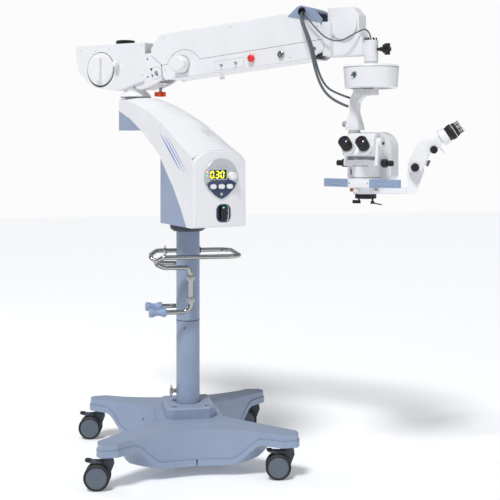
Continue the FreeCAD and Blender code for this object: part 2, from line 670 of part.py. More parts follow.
L = ARM_LENGTH
ARM_OUT = [(36, 169, 6), (-16, 112, 6), (-18, 84, 4), (38, 31, 3), (38, -20, 10), (50, -40, 10), (L - 12, -42, 10),
           (L + 42, -14, 14), (L + 41, 62, 10), (L + 35, 108, 8), (L + 21, 128, 8), (L - 70, 160, 10)]
ARM_IN = [(37.3, 166), (-60, 59.4), (-60, -70), (75, -70), (75, -37), (L - 20, -39), (L - 20, -70), (L + 85, -70),
          (L + 85, 98), (L + 18, 125.8), (L - 71, 157)]
CAP_OUT = [(L - 111, 146), (L - 101, 153), (L - 65, 178, 14), (L - 45, 184, 18), (L - 9, 170, 40), (L + 27, 144, 20),
           (L + 51, 112), (L + 43, 98), (L - 39, 124)]
CAP_IN = [(L - 123, 100), (L - 107, 140), (L - 65, 171, 12), (L - 46, 176, 14), (L - 12, 163, 30), (L + 11, 146),
          (L + 35, 190), (L + 105, 190), (L + 105, 40), (L - 115, 40)]
CAP_ZONE = [(L - 111, 146), (L - 101, 153), (L - 65, 178), (L - 55, 250), (L + 135, 250), (L + 135, 70), (L + 43, 98),
            (L - 39, 124)]
CAP_HOLE = (L - 41, 157.0)
SEAM_Z = 30.0
KNOB_X = 152.0
KNOB_Z = 18.0
BUTTON = (514.0, -3.0)
KEY = (659.0, -6.0)
TOGGLES = (358.0, 433.0)


def arm_skin():
    s = side(ARM_OUT, -ARM_P, ARM_P)
    edges = [e for e in s.Edges if abs(abs(e.BoundBox.YMin) - ARM_P) < 0.1 and abs(e.BoundBox.YMax - e.BoundBox.YMin) < 0.1]
    s = s.makeFillet(4.0, edges)
    return s.cut(side(ARM_IN, -ARM_P + 3, ARM_P - 3))


def arm_low_region():
    low = box(-100, 900, -100, 100, -100, SEAM_Z)
    bump = rod(100, (158, -100, -17), (158, 100, -17))
    return low.fuse(bump)


def arm_covers():
    skin = arm_skin()
    low = arm_low_region()
    upper = skin.cut(low)
    lower = skin.common(low)
    upper = upper.cut(cap_zone_solid())
    lower = lower.cut(rod(8.3, (KNOB_X, -80, KNOB_Z), (KNOB_X, -40, KNOB_Z)))
    lower = lower.cut(rod(6 + RUN, (BUTTON[0], -80, BUTTON[1]), (BUTTON[0], -40, BUTTON[1])))
    lock = [(0, 0), (15, 0), (15, 8), (13, 10), (5, 10), (4, 9), (0, 9)]
    lower = lower.fuse(lathe(lock, (KEY[0], -ARM_P + 1, KEY[1]), (0, -1, 0)))
    lever = [(0, 0), (4.5, 0), (4.5, 4), (2.2, 5), (1.8, 14), (0, 14)]
    for x in TOGGLES:
        lower = lower.fuse(lathe(lever, (x, -ARM_P + 0.5, -12), (0, -1, 0)))
    wing = lathe([(0, -62), (4, -62), (4, -38), (0, -38)], (312, 0, 0))
    lower = lower.fuse(wing).fuse(box(300, 324, -2, 2, -64, -53))
    return in_arm(upper.removeSplitter()), in_arm(lower.removeSplitter())


def arm_end_cap():
    cap = side(CAP_OUT, -ARM_P - 1.5, ARM_P + 1.5)
    cap = cap.cut(side(CAP_IN, -ARM_P + 3, ARM_P - 3))
    cap = cap.cut(side(ARM_OUT, -100, 100).cut(cap_zone_solid()))
    hole = rod(16, (CAP_HOLE[0], -80, CAP_HOLE[1]), (CAP_HOLE[0], -50, CAP_HOLE[1]))
    return in_arm(cap.cut(hole))


def cap_zone_solid():
    return side(CAP_ZONE, -100, 100)


def arm_frame():
    plates = []
    for y0, y1 in ((-46, -30), (30, 46)):
        plates.append(side([(-20, -22, 21), (ARM_LENGTH + 20, -22, 21), (ARM_LENGTH + 20, 26, 21), (-20, 26, 21)], y0, y1))
    ties = [box(x, x + 14, -30, 30, -20, 20) for x in (120, L / 2, L - 115)]
    lugs = [box(x, x + 14, -ARM_P + 3, ARM_P - 3, -18, 20) for x in (210, L - 215)]
    high = [box(x, x + 14, -ARM_P + 3, ARM_P - 3, 10, 58) for x in (300, L - 83)]
    pins = [rod(PIN_R, (x, -62, 0), (x, 62, 0)) for x in (0, ARM_LENGTH)]
    s = fused(plates + ties + lugs + high + pins)
    s = s.cut(rod(7 + RUN, (KNOB_X, -80, KNOB_Z), (KNOB_X, -29, KNOB_Z)))
    return in_arm(s.removeSplitter())


def link_end():
    a = math.radians(ARM_RISE)
    return LINK_UP * math.sin(a), LINK_UP * math.cos(a)


def parallel_link():
    dx, dz = link_end()
    bar = side([(dx - 15, dz - 11, 10.9), (dx + ARM_LENGTH + 15, dz - 11, 10.9), (dx + ARM_LENGTH + 15, dz + 11, 10.9),
                (dx - 15, dz + 11, 10.9)], -14, 14)
    bar = bar.cut(box(dx + 60, dx + ARM_LENGTH - 60, -20, -5, dz - 6, dz + 6))
    bar = bar.cut(box(dx + 60, dx + ARM_LENGTH - 60, 5, 20, dz - 6, dz + 6))
    pins = [rod(8, (x, -61, dz), (x, 61, dz)) for x in (dx, dx + ARM_LENGTH)]
    return in_arm(fused([bar] + pins))


def balance_knob():
    k = lathe([(0, 0), (37.5, 0), (37.5, 4), (36, 40), (31, 45.5), (0, 46)], (KNOB_X, -ARM_P - 0.4, KNOB_Z), (0, -1, 0))
    return in_arm(k.fuse(rod(7, (KNOB_X, -ARM_P - 2, KNOB_Z), (KNOB_X, -33, KNOB_Z))).removeSplitter())


def release_button():
    k = lathe([(0, 0), (15.5, 0), (15.5, 7), (13, 10), (7, 11.5), (0, 12)], (BUTTON[0], -ARM_P - 5, BUTTON[1]), (0, -1, 0))
    return in_arm(k.fuse(rod(6, (BUTTON[0], -ARM_P - 6, BUTTON[1]), (BUTTON[0], -ARM_P + 6, BUTTON[1]))).removeSplitter())


# End block

def end_block():
    ex, ez = END_X, END_Z
    b = ex + 36
    right = TUBE_S - 24.6
    main = side([(b, 1672, 3), (right, 1672, 3), (right, 1745, 12), (right - 14, 1786, 10), (right - 14, 1836, 16),
                 (right - 44, 1870, 8), (b + 9, 1872, 4), (b + 9, 1815, 2), (b, 1815, 3)], -34, 34)
    main = main.makeFillet(3.0, [e for e in main.Edges if abs(abs(e.BoundBox.YMin) - 34) < 0.1
                                 and abs(e.BoundBox.YMax - e.BoundBox.YMin) < 0.1])
    yoke = side([(b + 2, 1674, 3), (b + 37, 1674, 3), (b + 37, 1812, 3), (b + 2, 1812, 3)], -62, 62)
    ear = [(ex - 20, ez - 20, 19), (ex + 24, ez - 20, 4), (b + 5, ez - 10), (b + 5, ez + LINK_UP + 16),
           (ex - 18, ez + LINK_UP + 18, 17)]
    ears = [side(ear, -62, -50), side(ear, 50, 62)]
    boss = rod(60, (right - 80, -44, 1800), (right - 80, 44, 1800))
    web = side([(right - 28, 1674, 3), (TUBE_S, 1674), (TUBE_S, 1722), (right - 28, 1722, 3)], -20, 20)
    tube = Part.makeCylinder(TUBE_R, 87, V(TUBE_S, 0, 1645))
    s = fused([main, yoke] + ears + [boss, web, tube])
    s = s.cut(rod(PIN_R + RUN, (ex, -80, ez), (ex, 80, ez)))
    s = s.cut(rod(8 + RUN, (ex, -80, ez + LINK_UP), (ex, 80, ez + LINK_UP)))
    s = s.cut(Part.makeCylinder(SPINDLE_R + RUN, 75, V(TUBE_S, 0, 1640)))
    for i in range(6):
        a = math.radians(60 * i + 20)
        s = s.fuse(Part.makeCylinder(2.6, 12, V(TUBE_S + 21 * math.cos(a), 21 * math.sin(a), 1729)))
    s = s.cut(rod(6 + RUN, (TUBE_S + 19, 0, 1695), (TUBE_S + 40, 0, 1695)))
    return in_upper(s.removeSplitter())


def tube_lock_knob():
    x = TUBE_S + 58
    parts = [rod(14, (x, 0, 1695), (x + 22, 0, 1695))]
    for i in range(5):
        a = 2 * math.pi * i / 5
        parts.append(rod(7.5, (x + 1, 17 * math.cos(a), 1695 + 17 * math.sin(a)),
                         (x + 20, 17 * math.cos(a), 1695 + 17 * math.sin(a))))
    parts.append(rod(6, (TUBE_S + 22, 0, 1695), (x + 2, 0, 1695)))
    parts.append(rod(9, (TUBE_S + 40, 0, 1695), (x + 2, 0, 1695)))
    return in_upper(fused(parts))


# Head, x from the tube axis, front toward -Y

def xy_drum():
    skirt = lathe([(101, 1615), (104, 1611), (101, 1547), (85, 1547), (85, 1538), (101, 1538), (106, 1543), (111.1, 1615)])
    lid = lathe([(0, 1615), (111.1, 1615), (111.5, 1620), (112, 1624), (110, 1628), (104, 1632), (0, 1632)])
    hub = Part.makeCylinder(26, 12.6, V(0, 0, 1632))
    spindle = lathe([(0, 1644.6), (SPINDLE_R, 1644.6), (SPINDLE_R, 1708), (18, 1710), (0, 1710)])
    rails = [rod(5, (-86, y, 1600), (86, y, 1600)) for y in (-60, 60)]
    skirt = fused([skirt] + rails)
    recess = rod(15, (-26, -120, 1588), (-26, -104.2, 1588))
    slot = box(-41, -11, -120, -104.2, 1588, 1602)
    lamp = lathe([(0, 0), (8, 0), (8, 3), (5, 6.5), (0, 8)], (-26, -102.5, 1588), (0, -1, 0))
    skirt = skirt.cut(recess).cut(slot).fuse(lamp).removeSplitter()
    return in_head(compound(skirt.Solids + [lid, hub, spindle]))


def xy_carriage():
    plate = slab([(-42, -72, 6), (42, -72, 6), (42, 72, 6), (-42, 72, 6)], 1590, 1609)
    for y in (-60, 60):
        plate = plate.cut(rod(5 + RUN, (-60, y, 1600), (60, y, 1600)))
    parts = [plate]
    for y0, y1 in ((-66, -56), (56, 66)):
        parts.append(box(-42, 42, y0, y1, 1558, 1592))
    for x in (-33, 33):
        parts.append(rod(4, (x, -60, 1566), (x, 60, 1566)))
    s = fused(parts)
    for y in (-60, 60):
        s = s.cut(rod(5 + RUN, (-60, y, 1600), (60, y, 1600)))
    return in_head(s)


def neck():
    block = slab([(-44, -24, 4), (44, -24, 4), (44, 24, 4), (-44, 24, 4)], 1556, 1576)
    for x in (-33, 33):
        block = block.cut(rod(4 + RUN, (x, -60, 1566), (x, 60, 1566)))
    post = slab([(-28, -18, 5), (22, -18, 5), (22, 18, 5), (-28, 18, 5)], 1530, 1556)
    flange = slab([(-70, -30, 8), (22, -30, 8), (22, 30, 8), (-70, 30, 8)], 1512, 1535)
    arm = side([(20, 1530), (20, 1512, 3), (-28, 1508, 10), (-54, 1486, 22), (-57, 1440, 60), (-44, 1384, 20), (-42, 1370),
                (-104, 1370), (-103, 1392, 20), (-90, 1450, 60), (-88, 1500, 26), (-66, 1534, 4)], -27, 27)
    taper = cross([(-16, 1540), (-16, 1450, 40), (-26, 1385, 20), (-26, 1360), (26, 1360), (26, 1385, 20), (16, 1450, 40), (16, 1540)],
                  -200, 200)
    arm = arm.common(taper)
    bar = box(-94, -56, -15, 15, 1212, 1372)
    pin = lathe([(0, 0), (4, 0), (4, 10), (12, 12), (12, 24), (10, 26), (0, 26)], (-100, 0, 1395), (-1, 0, 0))
    lower = fused([flange, arm, bar, pin])
    post = post.cut(lower)
    return in_head(compound([block.cut(post), post, lower]))


def head_housing():
    s = side([(-105, 1166, 22), (90, 1166, 26), (90, 1362, 62), (-105, 1362, 22)], -5, 76)
    edges = [e for e in s.Edges if e.BoundBox.YMin > 75.9]
    s = s.makeFillet(14, edges)
    s = s.cut(side([(-98, 1173, 15), (83, 1173, 19), (83, 1355, 55), (-98, 1355, 15)], 26, 69))
    sleeve = box(-102, -48, -5, 27, 1185, 1362)
    s = s.fuse(sleeve)
    return in_head(s.cut(box(-94.4, -55.6, -16, 15.4, 1190, 1400)).removeSplitter())


def zoom_body():
    low = lathe([(0, 1142), (50, 1142), (ZOOM_R, 1148), (ZOOM_R, 1232), (ZOOM_R - 3, 1252), (0, 1252)], (0, -OPTIC_P, 0))
    low = low.cut(box(-200, 200, -5, 60, 1100, 1300))
    block = box(-44, 44, -60, -5, 1182, 1250)
    ears = []
    for x in (-74, 62):
        ears.append(cross([(-100, 1226, 6), (-30, 1226, 6), (-46, BINO[1] + 22, 20), (-88, BINO[1] + 22, 20)], x, x + 12))
    bridge = box(-74, 74, -96, -30, 1226, 1250)
    core = fused([low, block])
    bridge = bridge.cut(core)
    ears = [e.cut(bridge) for e in ears]
    out = []
    for s in [core, bridge] + ears:
        s = s.cut(rod(8 + RUN, (-90, -BINO[0], BINO[1]), (90, -BINO[0], BINO[1])))
        s = s.cut(rod(6 + RUN, (-90, -60, 1238), (90, -60, 1238)))
        s = s.cut(Part.makeCylinder(30, 115, V(0, -OPTIC_P, 1100)))
        out = out + s.Solids
    return in_head(compound(out))


def zoom_knobs():
    parts = [rod(6, (-112, -60, 1238), (112, -60, 1238))]
    for f in (-1, 1):
        parts.append(knurled(16, 20, 18, 1.2, (f * 78, -60, 1238), (f, 0, 0)))
        parts.append(knurled(11, 18, 14, 1.0, (f * 104, -60, 1238), (f, 0, 0)))
    return in_head(fused(parts))


def objective_barrel():
    y = -OPTIC_P
    s = lathe([(31, 1096), (39, 1096), (OBJECTIVE_R, 1099), (OBJECTIVE_R, 1142), (31, 1142)], (0, y, 0))
    lens = lathe([(0, 1103), (31.5, 1108), (31.5, 1115), (0, 1115)], (0, y, 0))
    feet = []
    for x in (-30, 30):
        feet.append(rod(4, (x, y, 1076), (x, y, 1098)))
    lever = rod(2.5, (30, y, 1080), (72, y - 6, 1074))
    knob = rod(7, (-34, y, 1082), (-56, y, 1082))
    spot = rod(8, (30, y, 1076), (30, y, 1086))
    clip = rod(7, (-30, y, 1076), (-30, y, 1088))
    return in_head(fused([s, lens] + feet + [lever, knob, spot, clip]))


def handlebar():
    centre = slab([(-47, -118, 4), (47, -118, 4), (50, -84), (-50, -84)], 1142, 1176)
    grips = []
    for f in (-1, 1):
        x0 = 46 * f
        x1 = 166 * f
        pts = [(x0, -117, 1), (x0, -90, 1), (x1, -74, 9), (x1, -98, 9)]
        if f > 0:
            pts = list(reversed(pts))
        g = slab(pts, 1143, 1175)
        hole = side([(f * 70 - 0, 1152, 6.9), (f * 142, 1152, 6.9), (f * 142, 1166, 6.9), (f * 70, 1166, 6.9)], -125, -60)
        dent = hole.common(rod(1, (0, 0, 0), (0, 0, 1)).fuse(box(-200, 200, -125, -98, 1100, 1200)))
        grips.append(g.cut(dent.Solids) if dent.Solids else g)
    s = fused([centre] + grips)
    s = s.cut(rod(ZOOM_R, (0, -OPTIC_P, 1100), (0, -OPTIC_P, 1300)))
    return in_head(s.removeSplitter())


def in_bino(shape):
    s = turned(shape, -BINO_RISE, (0, 0, 0), (1, 0, 0))
    return in_head(moved(s, 0, -BINO[0], BINO[1]))


def bino_body():
    drum = rod(40, (-61, 0, 0), (61, 0, 0))
    pts = [(-32, -79, 6), (-32, -24, 10), (-8, 38, 12), (38, 16, 12), (30, -40, 10), (2, -62, 6)]
    block = cross(pts, -61, 61)
    parts = [drum, block, rod(8, (-76, 0, 0), (76, 0, 0)), rod(25, (75, 0, 0), (82, 0, 0)), rod(25, (-75, 0, 0), (-82, 0, 0))]
    s = fused(parts)
    for f in (-1, 1):
        x = f * EYE_X
        slot = side([(x - 22, -66, 13.9), (x + 22, -66, 13.9), (x + 22, -38, 13.9), (x - 22, -38, 13.9)], -40, -8)
        s = s.cut(slot)
    return in_bino(s)


def eyepiece(f):
    x = f * EYE_X
    z = -52
    prof = [(0, 0), (12, 0), (12, 23.8), (27, 23.8), (27, 37), (25, 40), (21.5, 42), (21.5, 52), (23, 54), (23, 66),
            (22, 68), (23, 70), (23, 84), (20.5, 86), (15, 86), (13, 82), (0, 82)]
    s = lathe(prof, (x, -8.4, z), (0, -1, 0))
    return in_bino(s)


# Assistant scope, x outward from the optical axis

def assistant_arm():
    collar = lathe([(OBJECTIVE_R, 1116), (50, 1116), (50, 1141.8), (OBJECTIVE_R, 1141.8)])
    limb = side([(44, 1116), (198, 1116, 6), (232, 1212, 12), (214, 1246, 12), (176, 1242, 12), (163, 1200, 10), (170, 1141.8, 14),
                 (44, 1141.8)], -11, 11)
    limb = limb.cut(Part.makeCylinder(OBJECTIVE_R, 60, V(0, 0, 1100)))
    shoe = box(48, 160, -18, 18, 1118, 1140)
    knobs = []
    for a in (150, 30 + 30):
        c = math.cos(math.radians(a - SCOPE_TURN + UPPER_TURN))
        s_ = math.sin(math.radians(a - SCOPE_TURN + UPPER_TURN))
        knobs.append(rod(7, (49 * c, 49 * s_ * -1, 1129), (66 * c, 66 * s_ * -1, 1129)))
    s = fused([collar, limb, shoe] + knobs)
    return in_scope(s.cut(rod(7 + RUN, (195, -40, 1222), (195, 40, 1222))))


def assistant_tube():
    pts = [(176, 1208, 12), (165, 1232, 14), (196, 1300, 16), (220, 1334, 16), (262, 1336, 12), (292, 1352, 6), (309, 1326, 6),
           (288, 1298, 12), (256, 1282, 14), (226, 1214, 14), (206, 1196, 14), (188, 1196, 10)]
    s = side(pts, -24, 24)
    edges = [e for e in s.Edges if abs(abs(e.BoundBox.YMin) - 24) < 0.1 and abs(e.BoundBox.YMax - e.BoundBox.YMin) < 0.1]
    s = s.makeChamfer(4, edges)
    s = s.cut(side([(100, 1100), (290, 1100), (250, 1200), (243, 1264), (160, 1264)], -11.5, 11.5))
    pin = rod(7, (195, -22, 1222), (195, 22, 1222))
    disc = rod(27, (195, -24, 1222), (195, -33, 1222))
    knob = knurled(17, 16, 16, 1.4, (195, -33, 1222), (0, -1, 0))
    knob2 = knurled(16, 18, 16, 1.4, (268, -23, 1292), (0, -1, 0))
    ca = math.cos(math.radians(33))
    sa = math.sin(math.radians(33))
    eye = lathe([(0, 0), (33, 0), (33, 22), (31, 27), (28, 29), (28, 38), (30.5, 41), (30.5, 58), (28, 61), (28, 69),
                 (26, 71), (26, 92), (24, 96), (17, 96), (14, 91), (0, 91)], (296, 0, 1335), (ca, 0, sa))
    side_knob = lathe([(0, 0), (13, 0), (13, 8), (9, 9), (9, 14), (12, 15), (12, 24), (0, 24)], (229, 0, 1246), (0.9, 0, -0.42))
    lever = rod(2.5, (290, 0, 1302), (312, 0, 1276))
    s = fused([s, pin, disc, knob, knob2, eye, side_knob, lever])
    return in_scope(s)


# Cables

def upper_point(s, p, z):
    q = SWIVEL + E_S * s + E_P * p
    return (q.x, q.y, z)


def head_cables():
    main = [upper_point(918, 0, 1864), upper_point(918, 108, 1863), upper_point(980, 112, 1728),
            upper_point(1000, 98, 1606), upper_point(1024, 75, 1529), upper_point(1066, 45, 1485),
            upper_point(1107, 14, 1466)]
    second = [upper_point(925, 0, 1853.5), upper_point(925, 104, 1853.5), upper_point(983, 100, 1729),
              upper_point(1003, 86, 1615), upper_point(1028, 64, 1546), upper_point(1070, 35, 1518),
              upper_point(1110, 2, 1501)]
    thin = [upper_point(932, 20, 1862), upper_point(932, 92, 1862), upper_point(983, 88, 1799),
            upper_point(1038, 88, 1743), upper_point(1102, 80, 1724), upper_point(1159, 60, 1759),
            upper_point(1199, 14, 1786), upper_point(TUBE_S, 0, 1733.2)]
    return compound([bent_tube(main, 5.5, None, "main cable"), bent_tube(second, 4.5, None, "second cable"),
                     bent_tube(thin, 3.2, None, "hanger cable")])


def build():
    out = {"base_frame": base_frame(), "base_cover": base_cover(), "hub_cover": hub_cover(), "column": column(),
           "bearing_collar": bearing_collar(), "handrail": handrail(), "rail_grips": rail_grips(),
           "cable_pegs": cable_pegs()}
    for name, x, y in stem_spots():
        fork, wheels, pedal = caster_parts(x, y)
        out["caster_" + name + "_fork"] = fork
        out["caster_" + name + "_wheels"] = wheels
        out["caster_" + name + "_pedal"] = pedal
    out["gooseneck_frame"] = gooseneck_frame()
    out["housing_shell"], out["housing_lower"] = housing_parts()
    out["front_panel"] = front_panel()
    out["console_plate"] = console_plate()
    out["console_knob"] = console_knob()
    out.update(console_buttons())
    out["power_switch"] = power_switch()
    out["swivel_neck"] = swivel_neck()
    out["head_cover"] = head_cover()
    out["tension_dial"] = tension_dial()
    out["tension_lock"] = tension_lock()
    out["top_knob"] = top_knob()
    out["arm_bracket"] = arm_bracket()
    out["arm_lock_knob"] = arm_lock_knob()
    out["arm_upper_cover"], out["arm_lower_cover"] = arm_covers()
    out["arm_end_cap"] = arm_end_cap()
    out["arm_frame"] = arm_frame()
    out["parallel_link"] = parallel_link()
    out["balance_knob"] = balance_knob()
    out["release_button"] = release_button()
    out["end_block"] = end_block()
    out["tube_lock_knob"] = tube_lock_knob()
    out["xy_drum"] = xy_drum()
    out["xy_carriage"] = xy_carriage()
    out["neck"] = neck()
    out["head_housing"] = head_housing()
    out["zoom_body"] = zoom_body()
    out["zoom_knobs"] = zoom_knobs()
    out["objective_barrel"] = objective_barrel()
    out["handlebar"] = handlebar()
    out["bino_body"] = bino_body()
    out["eyepiece_left"] = eyepiece(-1)
    out["eyepiece_right"] = eyepiece(1)
    out["assistant_arm"] = assistant_arm()
    out["assistant_tube"] = assistant_tube()
    out["head_cables"] = head_cables()
    return out


os.makedirs("parts", exist_ok=True)
for node, shape in build().items():
    if shape.isNull() or not shape.isValid():
        print("not valid:", node)
    print(node, len(shape.Solids), round(shape.Volume / 1000, 1), "cm3")
    shape.exportStep("parts/" + node + ".step")
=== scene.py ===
"""Looks of a surgical microscope on a wheeled floor stand. Lengths in the helpers are in millimetres."""
import math

import bmesh
import bpy
from mathutils import Matrix, Vector
from mathutils.bvhtree import BVHTree


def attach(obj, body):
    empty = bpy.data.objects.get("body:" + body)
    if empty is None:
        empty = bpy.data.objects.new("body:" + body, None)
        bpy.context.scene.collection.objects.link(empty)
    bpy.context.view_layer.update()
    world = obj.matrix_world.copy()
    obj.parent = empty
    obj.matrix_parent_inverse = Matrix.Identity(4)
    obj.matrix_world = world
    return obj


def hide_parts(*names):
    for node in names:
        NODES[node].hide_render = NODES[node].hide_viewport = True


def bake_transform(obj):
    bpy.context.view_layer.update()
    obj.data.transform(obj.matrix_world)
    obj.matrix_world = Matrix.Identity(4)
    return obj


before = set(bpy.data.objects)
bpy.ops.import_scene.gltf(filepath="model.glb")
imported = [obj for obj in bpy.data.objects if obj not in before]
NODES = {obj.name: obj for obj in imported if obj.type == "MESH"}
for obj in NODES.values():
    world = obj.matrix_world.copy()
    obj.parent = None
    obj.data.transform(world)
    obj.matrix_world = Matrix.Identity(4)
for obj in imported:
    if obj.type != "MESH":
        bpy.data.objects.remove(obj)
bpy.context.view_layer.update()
MM = 0.001

# Driving sizes of the stand, as in the solids
STEM_HALF = 352.5
CASTER_TURN = -10.7
HOUSE_TURN = 19.3
PANEL_A = 293.0
SWIVEL_A = 540.0
UPPER_TURN = -42.7
ARM_PIVOT = (165.0, 1632.3)
ARM_LENGTH = 815.0
ARM_RISE = 5.3
DIAL = (-159, 1661)
LOCK_STUD_S = 143
COVER_Y = -60
CHEEK_Y = -62
SKIN_Y = -68
CAP_Y = -69.5
BALANCE = (152, 18)
RELEASE = (514, -3)
KEY = (659, -6)
TOGGLE_X = (358, 433)
TOGGLE_Z = -12
TUBE_S = 1202.6
TUBE_TOP = 1733.2
DRUM_LAMP = (-26, 1588)
OPTIC_P = 51.0
SCOPE_TURN = -19.7
BINO = (67.0, 1317.0)
BINO_RISE = 35.0
EYE_HALF = 37
ZOOM_SHAFT = (-60, 1238)
HANDLE_Z = 1159
GRIP_X = 106


def spin(degrees, axis="Z"):
    return Matrix.Rotation(math.radians(degrees), 4, axis)


def shift(x, y, z):
    return Matrix.Translation(Vector((x, y, z)) * MM)


# Local frames of the assemblies, front toward -Y
ROW = Matrix.Identity(4)
HOUSE = spin(HOUSE_TURN)
SWIVEL = HOUSE @ shift(0, SWIVEL_A, 0)
UPPER = Matrix.Translation(SWIVEL.to_translation()) @ spin(UPPER_TURN)
ARM = UPPER @ shift(ARM_PIVOT[0], 0, ARM_PIVOT[1]) @ spin(-ARM_RISE, "Y")
HEAD = UPPER @ shift(TUBE_S, 0, 0)
BINOC = HEAD @ shift(0, -BINO[0], BINO[1]) @ spin(-BINO_RISE, "X")
SCOPE = Matrix.Translation((HEAD @ shift(0, -OPTIC_P, 0)).to_translation()) @ spin(SCOPE_TURN)


def place(base, at, axis=(0, 0, 1)):
    """Frame at a point of base whose Z runs along axis."""
    turn = Vector((0, 0, 1)).rotation_difference(Vector(axis)).to_matrix().to_4x4()
    return base @ shift(*at) @ turn


# Materials

def srgb(r, g, b):
    out = []
    for c in (r, g, b):
        c = c / 255
        out.append(c / 12.92 if c <= 0.04045 else ((c + 0.055) / 1.055) ** 2.4)
    return (*out, 1.0)


def link(tree, a, b):
    tree.links.new(a, b)


def ramp(tree, fac, low, high, at=(0.35, 0.65)):
    node = tree.nodes.new("ShaderNodeValToRGB")
    node.color_ramp.elements[0].position = at[0]
    node.color_ramp.elements[1].position = at[1]
    node.color_ramp.elements[0].color = low
    node.color_ramp.elements[1].color = high
    link(tree, fac, node.inputs["Fac"])
    return node.outputs["Color"]


def shade(colour, k):
    return (min(1, colour[0] * k), min(1, colour[1] * k), min(1, colour[2] * k), 1.0)


def grey(v):
    return (v, v, v, 1.0)


def noise(tree, coord, scale, detail=3.0, rough=0.55, stretch=None):
    node = tree.nodes.new("ShaderNodeTexNoise")
    node.inputs["Scale"].default_value = scale
    node.inputs["Detail"].default_value = detail
    node.inputs["Roughness"].default_value = rough
    if stretch:
        mapping = tree.nodes.new("ShaderNodeMapping")
        mapping.inputs["Scale"].default_value = stretch
        link(tree, coord, mapping.inputs["Vector"])
        coord = mapping.outputs["Vector"]
    link(tree, coord, node.inputs["Vector"])
    return node.outputs["Fac"]


def finish(name, colour, rough, metal=0.0, grain=900.0, bump=0.03, mottle=0.05, coat=0.0, edge=0.0006,
           smudge=0.08, stretch=None, dust=0.0):
    """Moulded or painted surface: slow colour drift, smudges in the gloss, fine grain, soft edges."""
    mat = bpy.data.materials.new(name)
    mat.use_nodes = True
    tree = mat.node_tree
    shader = tree.nodes["Principled BSDF"]
    coord = tree.nodes.new("ShaderNodeTexCoord").outputs["Object"]
    drift = noise(tree, coord, 7.0, 4.0)
    base = ramp(tree, drift, shade(colour, 1 - mottle), shade(colour, 1 + mottle * 0.5))
    if dust:
        geometry = tree.nodes.new("ShaderNodeNewGeometry")
        split = tree.nodes.new("ShaderNodeSeparateXYZ")
        link(tree, geometry.outputs["Normal"], split.inputs["Vector"])
        speck = noise(tree, coord, 60.0, 5.0)
        mask = tree.nodes.new("ShaderNodeMath")
        mask.operation = "MULTIPLY"
        link(tree, split.outputs["Z"], mask.inputs[0])
        link(tree, speck, mask.inputs[1])
        scaled = tree.nodes.new("ShaderNodeMath")
        scaled.operation = "MULTIPLY"
        scaled.use_clamp = True
        scaled.inputs[1].default_value = dust
        link(tree, mask.outputs[0], scaled.inputs[0])
        mix = tree.nodes.new("ShaderNodeMix")
        mix.data_type = "RGBA"
        mix.inputs["B"].default_value = srgb(205, 205, 202)
        link(tree, scaled.outputs[0], mix.inputs["Factor"])
        link(tree, base, mix.inputs["A"])
        base = mix.outputs["Result"]
    link(tree, base, shader.inputs["Base Color"])
    rub = noise(tree, coord, 26.0, 5.0, 0.65)
    gloss = ramp(tree, rub, grey(max(0.02, rough - smudge)), grey(min(1, rough + smudge)), (0.3, 0.7))
    link(tree, gloss, shader.inputs["Roughness"])
    shader.inputs["Metallic"].default_value = metal
    shader.inputs["Coat Weight"].default_value = coat
    shader.inputs["Coat Roughness"].default_value = 0.12
    fine = noise(tree, coord, grain, 2.0, 0.5, stretch)
    node = tree.nodes.new("ShaderNodeBump")
    node.inputs["Strength"].default_value = bump
    node.inputs["Distance"].default_value = 0.001
    link(tree, fine, node.inputs["Height"])
    if edge:
        soft = tree.nodes.new("ShaderNodeBevel")
        soft.samples = 4
        soft.inputs["Radius"].default_value = edge
        link(tree, soft.outputs["Normal"], node.inputs["Normal"])
    link(tree, node.outputs["Normal"], shader.inputs["Normal"])
    return mat


def glowing(name, colour, strength):
    mat = finish(name, colour, 0.3, grain=300.0, bump=0.01, edge=0.0)
    shader = mat.node_tree.nodes["Principled BSDF"]
    shader.inputs["Emission Color"].default_value = colour
    shader.inputs["Emission Strength"].default_value = strength
    return mat


def lens_glass(name, tint):
    mat = finish(name, tint, 0.05, grain=80.0, bump=0.004, mottle=0.3, coat=1.0, edge=0.0, smudge=0.02)
    shader = mat.node_tree.nodes["Principled BSDF"]
    layer = mat.node_tree.nodes.new("ShaderNodeLayerWeight")
    layer.inputs["Blend"].default_value = 0.35
    tone = ramp(mat.node_tree, layer.outputs["Facing"], tint, srgb(60, 90, 160), (0.1, 0.9))
    link(mat.node_tree, tone, shader.inputs["Specular Tint"])
    return mat


WHITE = finish("white_enamel", srgb(236, 237, 240), 0.36, grain=1100, bump=0.025, mottle=0.025, coat=0.15,
               edge=0.0009)
WHITE_SATIN = finish("white_moulding", srgb(233, 234, 237), 0.42, grain=1500, bump=0.05, mottle=0.03,
                     edge=0.0009)
WHITE_KNOB = finish("white_knob", srgb(238, 238, 240), 0.34, grain=1300, bump=0.03, mottle=0.03, edge=0.0007)
BLUE = finish("blue_grey_paint", srgb(141, 156, 181), 0.38, grain=650, bump=0.10, mottle=0.05, coat=0.1,
              edge=0.0012, dust=0.10)
BLUE_COVER = finish("blue_grey_moulding", srgb(146, 161, 187), 0.42, grain=1300, bump=0.05, mottle=0.04,
                    edge=0.0009)
GRIP = finish("light_blue_grip", srgb(142, 160, 192), 0.42, grain=1000, bump=0.06, mottle=0.05, edge=0.0007)
BLACK = finish("black_moulding", srgb(20, 21, 23), 0.42, grain=1200, bump=0.08, mottle=0.15, edge=0.0005)
RUBBER = finish("black_rubber", srgb(17, 17, 18), 0.66, grain=900, bump=0.16, mottle=0.2, edge=0.0005,
                dust=0.05)
TYRE = finish("tyre_rubber", srgb(20, 20, 21), 0.62, grain=500, bump=0.12, mottle=0.3, edge=0.0008, dust=0.12)
FORK = finish("fork_nylon", srgb(62, 70, 80), 0.5, grain=900, bump=0.12, mottle=0.12, edge=0.0008, dust=0.06)
